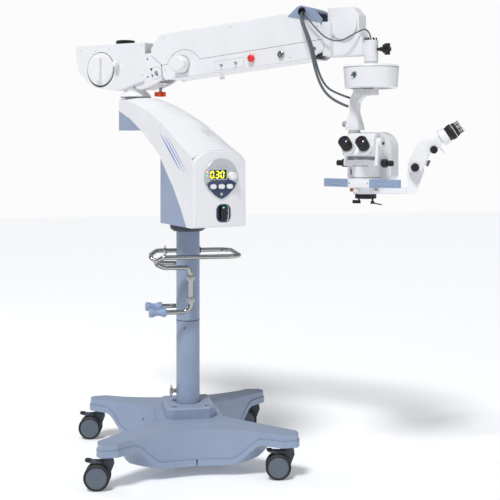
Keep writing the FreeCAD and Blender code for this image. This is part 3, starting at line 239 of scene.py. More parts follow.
HUB = finish("hub_nylon", srgb(88, 98, 110), 0.46, grain=1100, bump=0.08, mottle=0.08, edge=0.0008)
CHROME = finish("chrome", srgb(176, 176, 174), 0.10, metal=1.0, grain=160, bump=0.012, mottle=0.06,
                edge=0.0004, smudge=0.05)
STEEL = finish("brushed_steel", srgb(170, 171, 173), 0.30, metal=1.0, grain=500, bump=0.05, mottle=0.1,
               edge=0.0004,
               stretch=(1, 1, 14))
ALLOY = finish("cast_alloy", srgb(176, 178, 181), 0.46, metal=0.7, grain=380, bump=0.14, mottle=0.1)
SILVER = finish("silver_plate", srgb(192, 195, 201), 0.33, metal=0.35, grain=1700, bump=0.03, mottle=0.03,
                coat=0.3)
NAVY = finish("navy_print", srgb(12, 42, 84), 0.26, grain=1500, bump=0.03, mottle=0.08, coat=0.5)
SCREEN = finish("screen_glass", srgb(12, 20, 40), 0.10, grain=400, bump=0.005, mottle=0.2, coat=1.0, edge=0.0,
                smudge=0.04)
DIGIT = glowing("lit_segment", srgb(232, 236, 40), 2.2)
GREEN_LAMP = glowing("green_lamp", srgb(90, 220, 110), 1.6)
AMBER_LAMP = glowing("amber_lamp", srgb(240, 190, 60), 1.2)
GREEN = finish("earth_green", srgb(20, 130, 80), 0.4, grain=900, bump=0.05)
ORANGE = finish("orange_moulding", srgb(238, 84, 36), 0.34, grain=900, bump=0.06, mottle=0.08, edge=0.0007)
RED = finish("red_button", srgb(238, 30, 44), 0.26, grain=900, bump=0.02, mottle=0.05, coat=0.5)
OCHRE = finish("ochre_knob", srgb(176, 104, 40), 0.4, grain=900, bump=0.08, mottle=0.1, edge=0.0004)
STRIPE = finish("accent_stripe", srgb(116, 134, 214), 0.36, grain=1400, bump=0.03, mottle=0.08, edge=0.0)
LINE = finish("panel_line", srgb(120, 124, 130), 0.55, grain=900, bump=0.05, edge=0.0)
DARK_LINE = finish("dark_joint", srgb(34, 36, 40), 0.7, grain=900, bump=0.08, edge=0.0)
CABLE = finish("cable_jacket", srgb(94, 102, 108), 0.48, grain=700, bump=0.10, mottle=0.08, edge=0.0)
TEAL_GLASS = lens_glass("teal_lamp_glass", srgb(40, 96, 104))
LENS = lens_glass("coated_lens", srgb(46, 26, 52))
OBJECT_GLASS = lens_glass("objective_glass", srgb(40, 50, 80))

NODE_FINISH = {
    "base_frame": BLUE, "base_cover": BLUE, "hub_cover": BLUE, "column": BLUE, "bearing_collar": FORK,
    "handrail": CHROME, "rail_grips": GRIP, "cable_pegs": CHROME, "gooseneck_frame": ALLOY,
    "housing_shell": WHITE_SATIN, "housing_lower": BLUE_COVER, "front_panel": WHITE_SATIN,
               "console_plate": SILVER,
    "console_knob": WHITE_KNOB, "console_button_left": WHITE_KNOB, "console_button_mid": WHITE_KNOB,
    "console_button_right": WHITE_KNOB, "power_switch": BLACK, "swivel_neck": WHITE, "head_cover": WHITE,
    "tension_dial": WHITE_KNOB, "tension_lock": WHITE_KNOB, "top_knob": BLACK, "arm_bracket": WHITE,
    "arm_lock_knob": ORANGE, "arm_frame": ALLOY, "arm_upper_cover": WHITE, "arm_lower_cover": WHITE,
    "arm_end_cap": BLUE_COVER, "parallel_link": STEEL, "balance_knob": WHITE_KNOB, "release_button": RED,
    "end_block": WHITE, "tube_lock_knob": BLACK, "xy_drum": WHITE, "xy_carriage": ALLOY, "neck": WHITE,
    "head_housing": WHITE, "zoom_body": WHITE, "zoom_knobs": BLACK, "objective_barrel": BLACK,
               "handlebar": GRIP,
    "bino_body": WHITE, "eyepiece_left": BLACK, "eyepiece_right": BLACK, "assistant_arm": WHITE,
    "assistant_tube": WHITE, "head_cables": CABLE,
}
for corner in ("fl", "fr", "rl", "rr"):
    NODE_FINISH["caster_%s_fork" % corner] = FORK
    NODE_FINISH["caster_%s_pedal" % corner] = FORK
    NODE_FINISH["caster_%s_wheels" % corner] = TYRE

for name, node in NODES.items():
    node.data.materials.clear()
    node.data.materials.append(NODE_FINISH[name])


# Mesh helpers

def piece(name, verts, faces, mat, body, smooth=35, bevel=0.0):
    mesh = bpy.data.meshes.new(name)
    mesh.from_pydata([tuple(v) for v in verts], [], faces)
    mesh.validate()
    work = bmesh.new()
    work.from_mesh(mesh)
    bmesh.ops.remove_doubles(work, verts=work.verts, dist=1e-7)
    bmesh.ops.recalc_face_normals(work, faces=work.faces)
    if bevel:
        sharp = [e for e in work.edges if len(e.link_faces) == 2 and e.calc_face_angle() > math.radians(40)]
        bmesh.ops.bevel(work, geom=sharp, offset=bevel * MM, segments=2, profile=0.6, affect="EDGES",
                        clamp_overlap=True)
    work.to_mesh(mesh)
    work.free()
    for face in mesh.polygons:
        face.use_smooth = True
    mesh.set_sharp_from_angle(angle=math.radians(smooth))
    mesh.materials.append(mat)
    obj = bpy.data.objects.new(name, mesh)
    bpy.context.scene.collection.objects.link(obj)
    if body:
        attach(obj, body)
    return obj


def lathe(name, profile, at, mat, body, segments=64, flutes=0, depth=0.0, zone=None):
    """Turned piece; profile is (radius, height), with optional grip flutes between two heights."""
    verts = []
    faces = []
    count = len(profile)
    for i in range(segments):
        a = 2 * math.pi * i / segments
        for r, h in profile:
            if flutes and zone[0] <= h <= zone[1] and r > 0:
                r = r - depth * (0.5 - 0.5 * math.cos(flutes * a))
            verts.append(at @ (Vector((r * math.cos(a), r * math.sin(a), h)) * MM))
    for i in range(segments):
        j = (i + 1) % segments
        for k in range(count - 1):
            faces.append((i * count + k, j * count + k, j * count + k + 1, i * count + k + 1))
    return piece(name, verts, faces, mat, body)


def rounded_outline(points, steps=6):
    """Polygon with rounded corners; each point is (x, y, radius)."""
    out = []
    n = len(points)
    for i in range(n):
        p = Vector(points[i][:2])
        r = points[i][2] if len(points[i]) > 2 else 0
        a = Vector(points[i - 1][:2]) - p
        b = Vector(points[(i + 1) % n][:2]) - p
        if r <= 0:
            out.append(p)
            continue
        half = a.angle(b) / 2
        reach = r / math.tan(half)
        a.normalize()
        b.normalize()
        centre = p + (a + b).normalized() * (r / math.sin(half))
        start = p + a * reach - centre
        total = math.pi - 2 * half
        sign = 1 if start.x * (p + b * reach - centre).y - start.y * (p + b * reach - centre).x > 0 else -1
        for k in range(steps + 1):
            t = sign * total * k / steps
            out.append(centre + Vector((start.x * math.cos(t) - start.y * math.sin(t),
                                        start.x * math.sin(t) + start.y * math.cos(t))))
    return out


def plate(name, outline, z0, z1, at, mat, body, bevel=0.4):
    """Flat piece with a 2-D outline, raised from z0 to z1 along the frame's Z."""
    n = len(outline)
    verts = [at @ (Vector((p.x, p.y, z)) * MM) for z in (z0, z1) for p in outline]
    faces = [tuple(range(n)), tuple(range(2 * n - 1, n - 1, -1))]
    faces += [(i, (i + 1) % n, n + (i + 1) % n, n + i) for i in range(n)]
    return piece(name, verts, faces, mat, body, bevel=bevel)


def circle(r, n=48, x=0.0, y=0.0):
    return [Vector((x + r * math.cos(2 * math.pi * i / n),
                    y + r * math.sin(2 * math.pi * i / n))) for i in range(n)]


def oval(x, y, half_w, half_h):
    return rounded_outline([(x - half_w, y - half_h, half_h * 0.99), (x + half_w, y - half_h, half_h * 0.99),
                            (x + half_w, y + half_h, half_h * 0.99), (x - half_w, y + half_h, half_h * 0.99)],
                           10)


def face_frame(base, y):
    """Frame on a front face at the given y: X runs right, Y runs up, Z points to the front."""
    return base @ shift(0, y, 0) @ spin(90, "X")


SURFACES = {}


def surface_of(nodes):
    if nodes not in SURFACES:
        verts = []
        faces = []
        for node in nodes:
            start = len(verts)
            verts += [v.co.copy() for v in NODES[node].data.vertices]
            faces += [[start + i for i in p.vertices] for p in NODES[node].data.polygons]
        SURFACES[nodes] = BVHTree.FromPolygons(verts, faces)
    return SURFACES[nodes]


def wrapped_strip(name, line, width, nodes, at, mat, body, lift=0.25, steps=6, far=300):
    """Thin strip on a solid's surface along a line, found by looking along the frame's -Z."""
    tree = surface_of(nodes)
    ray = (at.to_3x3() @ Vector((0, 0, -1))).normalized()
    verts = []
    rows = 0
    n = len(line)
    for i, p in enumerate(line):
        before = line[max(0, i - 1)]
        after = line[min(n - 1, i + 1)]
        along = (after - before).normalized()
        across = Vector((-along.y, along.x))
        w = width(i / (n - 1)) if callable(width) else width
        row = []
        for k in range(steps + 1):
            q = p + across * (w * (k / steps - 0.5))
            start = at @ (Vector((q.x, q.y, far)) * MM)
            hit = tree.ray_cast(start, ray)[0]
            if hit is None:
                row = None
                break
            row.append(hit - ray * lift * MM)
        if row is None:
            continue
        verts += row
        rows += 1
    faces = []
    for i in range(rows - 1):
        for k in range(steps):
            a = i * (steps + 1) + k
            faces.append((a, a + 1, a + steps + 2, a + steps + 1))
    if not faces:
        raise ValueError("no surface under " + name)
    return piece(name, verts, faces, mat, body, smooth=60)


def arc_line(x, y, r, start, end, n):
    return [Vector((x + r * math.cos(math.radians(start + (end - start) * i / n)),
                    y + r * math.sin(math.radians(start + (end - start) * i / n)))) for i in range(n + 1)]


def line(x0, y0, x1, y1, n=12):
    return [Vector((x0 + (x1 - x0) * i / n, y0 + (y1 - y0) * i / n)) for i in range(n + 1)]


def screw(name, at, r, body, mat=STEEL, head=1.2, sunk=0.0):
    """Socket-head screw: a turned head with a bevel and a round socket."""
    head_profile = [(0, head * 0.35), (r * 0.42, head * 0.35), (r * 0.5, head * 0.9), (r * 0.88, head),
                    (r, head * 0.75), (r, -sunk - 0.2)]
    return lathe(name, head_profile, at, mat, body, segments=24)


# Casters

PEDAL_PAD_Z = 113.7
WHEEL_Z = 50
for corner, x, y in (("fl", -1, -1), ("fr", 1, -1), ("rl", -1, 1), ("rr", 1, 1)):
    foot = shift(x * STEM_HALF, y * STEM_HALF, 0) @ spin(CASTER_TURN)
    for side in (-1, 1):
        hub = place(foot, (-40, 0, WHEEL_Z), (0, side, 0))
        tag = "%s_%s" % (corner, "in" if side > 0 else "out")
        profile = [(0, 33.4), (5, 33.4), (6, 32.9), (10, 32.9), (11, 33.8), (24, 34.2), (37.5, 33.2),
                   (40.2, 32.2), (40.6, 30.8)]
        lathe("hub_disc_" + tag, profile, hub, HUB, "wheels_" + corner)
        lathe("tyre_bead_" + tag, [(40.7, 31.2), (41.2, 33.3), (44.2, 33.5), (45.4, 32.6)], hub, TYRE,
              "wheels_" + corner)
    cup = place(foot, (0, 0, 0))
    lathe("swivel_washer_" + corner, [(15.2, 124.6), (16.4, 125.2), (16.4, 128.9), (15.2, 129.5)], cup, STEEL,
          "caster_" + corner)
    lathe("swivel_seal_" + corner, [(21.1, 113), (21.7, 113.6), (21.7, 115.4), (21.1, 116)], cup, BLACK,
          "caster_" + corner)
    pad = rounded_outline([(-84, -17, 3), (-64, -17, 3), (-64, 17, 3), (-84, 17, 3)])
    plate("pedal_pad_" + corner, pad, 0, 1.2, foot @ shift(-2.5, 0, PEDAL_PAD_Z), RUBBER, "pedal_" + corner,
          bevel=0.3)

# Base
GROUND_SPOT = place(ROW, (-163, 157, 128), (-0.707, -0.707, 0))
lathe("earth_boss", [(0, 19.5), (5.2, 19.5), (6.4, 18.4), (6.4, 2)], GROUND_SPOT, GREEN, "stand", segments=24)
for x in (-66, 66):
    screw("hub_screw_%s" % ("l" if x < 0 else "r"), place(ROW, (x, -84, 219)), 6.6, "stand", STEEL, head=2.4)
lathe("column_gap_ring", [(49.2, 233.4), (52.9, 233.4), (52.9, 231.0), (49.2, 231.0), (49.2, 233.4)], ROW,
      DARK_LINE, "stand")
lathe("column_seam", [(49.05, 575.8), (49.25, 576.2), (49.25, 578.4), (49.05, 578.8)], ROW, DARK_LINE,
      "stand")
lathe("column_foot_bead", [(49.05, 234.2), (49.9, 234.6), (49.9, 236.0), (49.05, 236.6)], ROW, BLUE, "stand")

# Rail fittings
for face, tag in ((-1, "front"), (1, "back")):
    for z in (672, 762):
        lathe("rail_sleeve_%s_%d" % (tag, z), [(9.6, -11), (16.6, -10.2), (17, -8), (17, 8), (16.6, 10.2),
                                               (9.6, 11)],
              place(ROW, (0, face * 84, z)), STEEL, "stand", segments=40)
    for k in range(3):
        lathe("grip_ring_%s_%d" % (tag, k), [(18.45, -1.1), (19.0, -0.5), (19.0, 0.5), (18.45, 1.1)],
              place(ROW, (-164 + 4.6 * k, face * 84, 622), (1, 0, 0)), GRIP, "stand", segments=40)
lathe("rail_clamp", [(9.6, -11), (14.5, -10), (15.5, -7), (15.5, 7), (14.5, 10), (9.6, 11)],
      place(ROW, (62, 138, 853), (1, 0, 0)),
      BLACK, "stand", segments=32)

# Housing
LEFT_SIDE = HOUSE @ spin(-90) @ spin(90, "X")
lathe("collar_lip", [(74.1, 962), (75.2, 963), (75.2, 973), (74.1, 974.5)], ROW, FORK, "stand")


def side_line(points, n=10):
    """Points (a, z) on the housing's left side, given along a."""
    out = []
    for (a0, z0), (a1, z1) in zip(points, points[1:]):
        for i in range(n):
            out.append(Vector((a0 + (a1 - a0) * i / n, z0 + (z1 - z0) * i / n)))
    out.append(Vector(points[-1]))
    return out


def taper(most):
    return lambda t: max(0.4, most * math.sin(math.pi * min(1, t * 0.92 + 0.04)) ** 0.8)


for k, (a0, z0, a1, z1, most) in enumerate(((-60, 1358, 150, 1208, 9), (-20, 1352, 190, 1202, 6),
                                            (20, 1344, 215, 1205, 3.5))):
    wrapped_strip("accent_bar_%d" % k, line(a0, z0, a1, z1, 30), taper(most), ("housing_shell",), LEFT_SIDE,
                  STRIPE, "housing")
LOWER_JOINT = [(-56, 1250), (14, 1190), (80, 1134), (163, 1045), (212, 984)]
wrapped_strip("cover_joint_left", side_line(LOWER_JOINT, 8), 1.1, ("housing_shell", "housing_lower"),
              LEFT_SIDE, LINE,
              "housing", lift=0.1, steps=2)

PANEL = face_frame(HOUSE, -PANEL_A)
PLATE = face_frame(HOUSE, -PANEL_A - 3.0)


def on_plate(name, outline, z1, mat, body="housing", z0=0.0, bevel=0.15):
    return plate(name, outline, z0, z1, PLATE, mat, body, bevel=bevel)


low_shield = [Vector((-62.4, 1150.2)), Vector((-57, 1139)), Vector((-30, 1112)), Vector((-9, 1099.5)),
              Vector((0, 1097)),
              Vector((9, 1099.5)), Vector((30, 1112)), Vector((57, 1139)), Vector((62.4, 1150.2))]
top_arc = arc_line(0, 1076, 105, 52, 128, 24)
SHIELD_SHAPE = low_shield + [Vector((68.5, 1163))] + top_arc + [Vector((-68.5, 1163))]
on_plate("navy_shield", SHIELD_SHAPE, 0.35, NAVY)
on_plate("display_bezel", rounded_outline([(-57, 1172, 4), (25, 1172, 4), (25, 1215, 4), (-57, 1215, 4)]),
         0.5, SILVER)
on_plate("display_glass", rounded_outline([(-54, 1175, 2.5), (22, 1175, 2.5), (22, 1212, 2.5),
                                           (-54, 1212, 2.5)]), 0.9, SCREEN)


def segment(x0, y0, x1, y1, w=2.1):
    a = Vector((x0, y0))
    b = Vector((x1, y1))
    d = (b - a).normalized()
    s = Vector((-d.y, d.x)) * w
    a2 = a + d * 0.8
    b2 = b - d * 0.8
    return [a2, a2 + d * w + s, b2 - d * w + s, b2, b2 - d * w - s, a2 + d * w - s]


LIT = {"0": "abcdef", "3": "abcdg"}


def digit(name, char, x, y, w=12.5, h=25.0, lean=1.6):
    spots = {"a": (0, h, w, h), "b": (w, h, w, h / 2), "c": (w, h / 2, w, 0), "d": (0, 0, w, 0),
             "e": (0, 0, 0, h / 2),
             "f": (0, h / 2, 0, h), "g": (0, h / 2, w, h / 2)}
    for key in LIT[char]:
        x0, y0, x1, y1 = spots[key]
        pts = segment(x + x0 + lean * y0 / h, y + y0, x + x1 + lean * y1 / h, y + y1)
        on_plate("%s_%s" % (name, key), pts, 1.15, DIGIT, bevel=0)


for k, (char, x) in enumerate((("0", -50), ("3", -26), ("0", -4))):
    digit("digit_%d" % k, char, x, 1181)
on_plate("digit_point", circle(2.0, 16, -31.2, 1182.5), 1.15, DIGIT, bevel=0)
on_plate("lamp_upper", circle(3.1, 20, -64, 1204), 1.4, AMBER_LAMP, bevel=0.5)
on_plate("lamp_lower", circle(3.1, 20, -66, 1190), 1.4, GREEN_LAMP, bevel=0.5)
on_plate("round_mark", circle(5.6, 28, 0, 1116), 0.9, SILVER, bevel=0.4)
on_plate("knob_scale", [p for p in circle(19.6, 40, 44, 1187)], 0.3, SILVER, bevel=0.1)
for k, x in enumerate((-37, 0, 37)):
    on_plate("button_ring_%d" % k, oval(x, 1146, 15.0, 10.0), 0.45, SILVER, bevel=0.2)
for k, x in enumerate((-18, -6, 6, 18)):
    on_plate("scale_tick_%d" % k, rounded_outline([(x - 0.6, 1222, 0.2), (x + 0.6, 1222, 0.2),
                                                   (x + 0.6, 1228, 0.2), (x - 0.6, 1228, 0.2)], 2),
             0.5, NAVY, bevel=0)

recess = rounded_outline([(-22, 1004, 24), (42, 1004, 24), (42, 1076, 24), (-22, 1076, 24)], 12)
inner = rounded_outline([(-14.5, 1008, 12), (34.5, 1008, 12), (34.5, 1072, 12), (-14.5, 1072, 12)], 12)


def ring_plate(name, outer, hole, z0, z1, at, mat, body):
    """Flat ring between two outlines that have the same number of points."""
    n = len(outer)
    verts = []
    for z in (z0, z1):
        for p in outer:
            verts.append(at @ (Vector((p.x, p.y, z)) * MM))
        for p in hole:
            verts.append(at @ (Vector((p.x, p.y, z)) * MM))
    faces = []
    for i in range(n):
        j = (i + 1) % n
        faces.append((2 * n + i, 2 * n + j, 3 * n + j, 3 * n + i))
        faces.append((i, n + i, n + j, j))
        faces.append((i, j, 2 * n + j, 2 * n + i))
        faces.append((n + j, n + i, 3 * n + i, 3 * n + j))
    return piece(name, verts, faces, mat, body, bevel=0)


ring_plate("switch_bezel", recess, inner, -0.6, 0.9, PANEL, NAVY, "housing")
plate("switch_floor", inner, -9.6, -9.0, PANEL, NAVY, "housing", bevel=0)
plate("switch_lamp", oval(10, 1062, 3.4, 2.2), 1.2, 2.4, PANEL, GREEN_LAMP, "rocker", bevel=0.3)

# Head cover and its dials
COVER = face_frame(UPPER, COVER_Y)
CHEEK = face_frame(UPPER, CHEEK_Y)
# Dark ring round the tension dial: the joint gap, plus painted shadow of the dial where the outer circle is
# set off down and left.
ring_plate("dial_gap_and_shadow", circle(81.5, 72, DIAL[0] - 1.5, DIAL[1] - 2), circle(76.6, 72, *DIAL), 0.0, 0.3, COVER,
           DARK_LINE, "turret")
for k, a in enumerate((112, 127, 142)):
    c = Vector((DIAL[0] + 92 * math.cos(math.radians(a)), DIAL[1] + 92 * math.sin(math.radians(a))))
    plate("dial_tick_%d" % k, circle(2.2 - 0.4 * k, 16, c.x, c.y), 0, 0.25, COVER, LINE, "turret", bevel=0)
HANDLE = place(UPPER, (DIAL[0], -60.4, DIAL[1]), (0, -1, 0))
lathe("dial_dish", [(0, 9.7), (50, 9.9), (56, 10.4), (60, 10.0), (64, 9.4)], HANDLE, WHITE_KNOB, "tension",
      segments=72)
for k, (x, z) in enumerate(((-286, 1752), (84, 1760), (84, 1626), (-110, 1752))):
    screw("cover_screw_%d" % k, place(UPPER, (x, COVER_Y, z), (0, -1, 0)), 2.2, "turret")
lathe("top_knob_cap", [(0, 15.6), (30, 15.9), (34, 16.4), (38, 15.8), (41, 14.8)],
      place(UPPER, (-61, 0, 1778.5)), BLACK, "brake_knob")
lathe("neck_seam", [(69.9, 1526.2), (70.9, 1526.8), (70.9, 1528.6), (70.2, 1529.6)], UPPER, DARK_LINE,
      "turret")
# Black disc for a hole in the neck: painted shade of the hole's inside.
lathe("neck_hole", [(0, 0.4), (2.6, 0.4), (3.2, 0.9), (3.6, 0.3)],
      place(UPPER, (27.2, -42.4, 1571), (0.54, -0.842, 0)), BLACK, "turret", segments=24)
for k, (x, z, r) in enumerate(((145, 1622, 5.2), (172, 1623, 5.2), (150, 1716, 3.2), (178, 1700, 3.2))):
    screw("bracket_screw_%d" % k, place(UPPER, (x, CHEEK_Y, z), (0, -1, 0)), r, "turret", STEEL, head=1.8)
# Black discs for holes in the arm bracket: painted shade of the holes' insides.
for k, (x, z, r) in enumerate(((138, 1650, 5.0), (118, 1616, 3.4), (116, 1697, 3.4))):
    lathe("bracket_hole_%d" % k, [(0, 0.3), (r * 0.7, 0.3), (r, 0.9), (r + 0.8, 0.2)],
          place(UPPER, (x, CHEEK_Y, z), (0, -1, 0)), BLACK, "turret",
          segments=28)
lathe("lock_stud", [(6.2, 1551), (7.2, 1552), (7.2, 1567), (6.2, 1569)], place(UPPER, (LOCK_STUD_S, 0, 0)),
      STEEL, "arm_lock", segments=32)
ring_plate("pivot_groove", circle(29.5, 56, *ARM_PIVOT), circle(28.4, 56, *ARM_PIVOT), 0.0, 0.2, CHEEK, LINE,
           "turret")

# Balance arm
SIDE = face_frame(ARM, SKIN_Y)
seam = line(40, 30, 70, 30, 10)
seam += arc_line(158, -17, 100, 151.9, 28.1, 40)
seam += line(246.5, 30, ARM_LENGTH + 38, 30, 60)
wrapped_strip("cover_seam", seam, 1.5, ("arm_lower_cover", "arm_upper_cover"), SIDE, DARK_LINE, "arm",
              lift=0.12, steps=2)
label = rounded_outline([(318, -32, 3), (474, -32, 3), (474, 8, 3), (318, 8, 3)])
label_in = rounded_outline([(318.7, -31.3, 2.4), (473.3, -31.3, 2.4), (473.3, 7.3, 2.4), (318.7, 7.3, 2.4)])
ring_plate("switch_label", label, label_in, 0.0, 0.2, SIDE, LINE, "arm")
for k, x in enumerate(TOGGLE_X):
    lathe("toggle_nut_%d" % k, [(2.4, 5.2), (5.4, 4.9), (5.8, 3.6), (5.8, 0)],
          place(ARM, (x, SKIN_Y, TOGGLE_Z), (0, -1, 0)), STEEL, "arm", segments=6)
    lathe("toggle_tip_%d" % k, [(0, 15.2), (2.2, 14.6), (2.7, 12.5), (1.9, 9), (1.9, 5)],
          place(ARM, (x, SKIN_Y, TOGGLE_Z), (0, -1, 0)), CHROME, "arm", segments=24)
KEY_AT = place(ARM, (KEY[0], SKIN_Y + 1, KEY[1]), (0, -1, 0))
lathe("key_ring", [(5, 10.4), (12.5, 10.6), (14.6, 9.2), (15.4, 7), (15.4, 0)], KEY_AT, CHROME, "arm")
lathe("key_core", [(0, 9.4), (4.8, 9.4), (4.9, 10.1), (5.2, 10.3)], KEY_AT, STEEL, "arm", segments=32)
lathe("release_dish", [(0, 12.6), (8, 12.4), (13, 10.6), (15.1, 8), (15.7, 6.2), (15.7, 0.4)],
      place(ARM, (RELEASE[0], SKIN_Y - 5, RELEASE[1]), (0, -1, 0)), RED, "release", segments=48)
lathe("release_ring", [(16.4, 0), (18.6, 0.6), (18.6, 1.6), (16.4, 2.4)],
      place(ARM, (RELEASE[0], SKIN_Y, RELEASE[1]), (0, -1, 0)), WHITE_KNOB, "arm")
lathe("balance_rim", [(0, 46.3), (22, 46.4), (29, 46.0), (33, 44.2), (36.4, 39)],
      place(ARM, (BALANCE[0], SKIN_Y - 0.4, BALANCE[1]), (0, -1, 0)), WHITE_KNOB, "balance", segments=72)
lathe("balance_gap", [(37.8, 0.05), (40.2, 0.3), (40.2, 0.05)],
      place(ARM, (BALANCE[0], SKIN_Y, BALANCE[1]), (0, -1, 0)), LINE, "arm", segments=72)
for k, (x, z) in enumerate(((56, 6), (60, 150), (420, 146), (700, -26), (838, 84))):
    screw("arm_screw_%d" % k, place(ARM, (x, SKIN_Y, z), (0, -1, 0)), 2.2, "arm")
lathe("pivot_cap_right", [(0, 1.8), (7, 1.8), (9.2, 1.0), (9.6, -1)],
      place(ARM, (ARM_LENGTH, SKIN_Y + 0.1, -4), (0, -1, 0)), STEEL, "arm", segments=32)
lathe("cable_grommet", [(13.6, -2), (13.6, 2.2), (15, 3.2), (17.6, 2.6), (17.8, 0)],
      place(ARM, (ARM_LENGTH - 41, CAP_Y, 157), (0, -1, 0)), RUBBER, "arm")

# Hanger tube, drum and neck
for k in range(6):
    a = math.radians(60 * k + 20)
    spot = place(UPPER, (TUBE_S + 21 * math.cos(a), 21 * math.sin(a), 1731))
    lathe("gland_pin_%d" % k, [(0, 12.5), (2.4, 12.2), (3.1, 10.8), (3.1, 0)], spot, BLACK, "arm_end",
          segments=20)
    low = place(UPPER, (TUBE_S + 22 * math.cos(a), 22 * math.sin(a), 1634))
    lathe("stop_pin_%d" % k, [(0, 10.4), (2.8, 10.2), (3.2, 9.4), (3.2, 0)], low, BLACK, "drum", segments=20)
lathe("tube_lip", [(28.3, 1646), (29.0, 1647), (29.0, 1651), (28.3, 1652)], HEAD, WHITE, "arm_end")
lathe("tube_top", [(0, TUBE_TOP), (18, TUBE_TOP), (26, 1732.6), (28.6, 1730.5), (28.6, 1727)], HEAD, WHITE,
      "arm_end")
lathe("drum_seam", [(111.6, 1620.6), (112.1, 1621.2), (112.1, 1622.6), (111.8, 1623.2)], HEAD, LINE, "drum",
      segments=96)
lathe("lamp_ring", [(8.2, 0), (8.2, 4), (9.6, 5), (11.4, 4.2), (11.6, 0)],
      place(HEAD, (DRUM_LAMP[0], -103.5, DRUM_LAMP[1]), (0, -1, 0)), CHROME, "drum", segments=40)
lathe("lamp_dome", [(0, 9.0), (3, 8.6), (6, 6.8), (7.8, 3.6), (8.1, 0)],
      place(HEAD, (DRUM_LAMP[0], -103, DRUM_LAMP[1]), (0, -1, 0)), TEAL_GLASS, "drum", segments=40)
lathe("neck_knob", [(0, 26.4), (9, 26.4), (11.6, 25), (12.4, 23), (12.4, 13), (11, 11.6), (4.4, 10.6)],
      place(HEAD, (-100, 0, 1395), (-1, 0, 0)),
      BLACK, "bracket", segments=60, flutes=15, depth=0.8, zone=(12, 24))

# Microscope head
for tag, f in (("left", -1), ("right", 1)):
    lathe("tilt_cap_" + tag, [(0, 7.6), (14, 7.6), (21, 7.0), (24.4, 5), (25.2, 2), (25.2, 0)],
          place(BINOC, (f * 75, 0, 0), (f, 0, 0)), WHITE, "binocular")
    lathe("tilt_lock_" + tag, [(0, 13), (5, 12.6), (6.4, 10.5), (6.4, 7)],
          place(BINOC, (f * 75, 0, 0), (f, 0, 0)), BLACK, "binocular", segments=24)
    big = place(HEAD, (f * 78, *ZOOM_SHAFT), (f, 0, 0))
    lathe("zoom_grip_" + tag, [(7, 0), (15, 0), (16.5, 1.4), (16.5, 18.6), (15, 20), (11, 20.4)], big, BLACK,
          "zoom_shaft", segments=96,
          flutes=24, depth=0.9, zone=(1, 19))
    lathe("zoom_end_" + tag, [(6, 0), (10.6, 0.6), (11.4, 2), (11.4, 16), (10.4, 18), (4, 18.6), (0, 18.6)],
          place(HEAD, (f * 104, *ZOOM_SHAFT), (f, 0, 0)), RUBBER, "zoom_shaft", segments=72, flutes=18,
          depth=0.8, zone=(2, 16.5))
    eye = place(BINOC, (f * EYE_HALF, -8.4, -52), (0, -1, 0))
    body = "eye_" + tag
    lathe("eye_collar_" + tag, [(26, 23.9), (27.4, 24.6), (27.4, 36.6), (25.6, 39.6), (22, 41.8)], eye, WHITE,
          body, segments=72)
    lathe("eye_scale_" + tag, [(21.6, 42), (22.2, 42.5), (22.2, 51.5), (21.6, 52)], eye, BLACK, body,
          segments=72)
    lathe("eye_ridge_" + tag, [(23.0, 54), (23.6, 55), (23.6, 65), (23.0, 66)], eye, RUBBER, body,
          segments=144, flutes=36, depth=0.6,
          zone=(54.5, 65.5))
    lathe("eye_cup_" + tag, [(22.8, 70), (23.8, 71.5), (24.0, 83), (22.4, 86), (19.4, 87), (16.4, 85.4),
                             (15.2, 83.5)], eye, RUBBER, body,
          segments=72)
    lathe("eye_lens_" + tag, [(0, 85.6), (6, 85.2), (11, 84.0), (15.4, 82.4)], eye, LENS, body, segments=48)

y = -OPTIC_P
lathe("objective_ring", [(42.4, 1098), (43.0, 1099), (43.0, 1108), (42.4, 1109)], HEAD @ shift(0, y, 0),
      BLACK, "head",
      segments=120, flutes=40, depth=0.5, zone=(1098.5, 1108.5))
lathe("objective_glass", [(0, 1101.8), (14, 1102.8), (24, 1104.6), (31, 1107.0)], HEAD @ shift(0, y, 0),
      OBJECT_GLASS, "head")
lathe("zoom_band", [(55.05, 1180), (55.4, 1180.8), (55.4, 1182.4), (55.05, 1183)], HEAD @ shift(0, y, 0),
      LINE, "head", segments=96)
lathe("zoom_band_top", [(55.05, 1226), (55.4, 1226.8), (55.4, 1228.0), (55.05, 1228.8)],
      HEAD @ shift(0, y, 0), LINE, "head", segments=96)
for tag, f in (("left", -1), ("right", 1)):
    lathe("ring_knob_" + tag, [(0, 15), (5.5, 15), (7.2, 13.6), (7.2, 5), (5, 3), (3.2, 0)],
          place(HEAD, (f * 47, y - 12, 1130), (f, -0.2, 0)),
          OCHRE, "head", segments=48, flutes=12, depth=0.7, zone=(4.5, 14))
    lathe("front_screw_" + tag, [(0, 1.6), (2.6, 1.6), (3.4, 0.9), (3.4, -1)],
          place(HEAD, (f * 40, -117.6, HANDLE_Z), (0, -1, 0)), STEEL, "head", segments=24)

centre_plan = rounded_outline([(-47.2, -118.1, 4), (47.2, -118.1, 4), (50.2, -84, 0), (-50.2, -84, 0)])
plate("handle_centre", centre_plan, 1141.7, 1176.3, HEAD, WHITE, "head", bevel=1.2)
for tag, f in (("left", -1), ("right", 1)):
    slope = math.degrees(math.atan2(19, 120))
    at = HEAD @ shift(f * GRIP_X, -107.6, HANDLE_Z) @ spin(f * slope) @ spin(90, "X")
    ring_plate("grip_recess_" + tag, oval(0, 0, 37, 8.6), oval(0, 0, 34.5, 6.4), -0.4, 0.7, at, GRIP, "head")
    plate("grip_dish_" + tag, oval(0, 0, 34.8, 6.6), -0.5, 0.12, at, BLUE_COVER, "head", bevel=0)

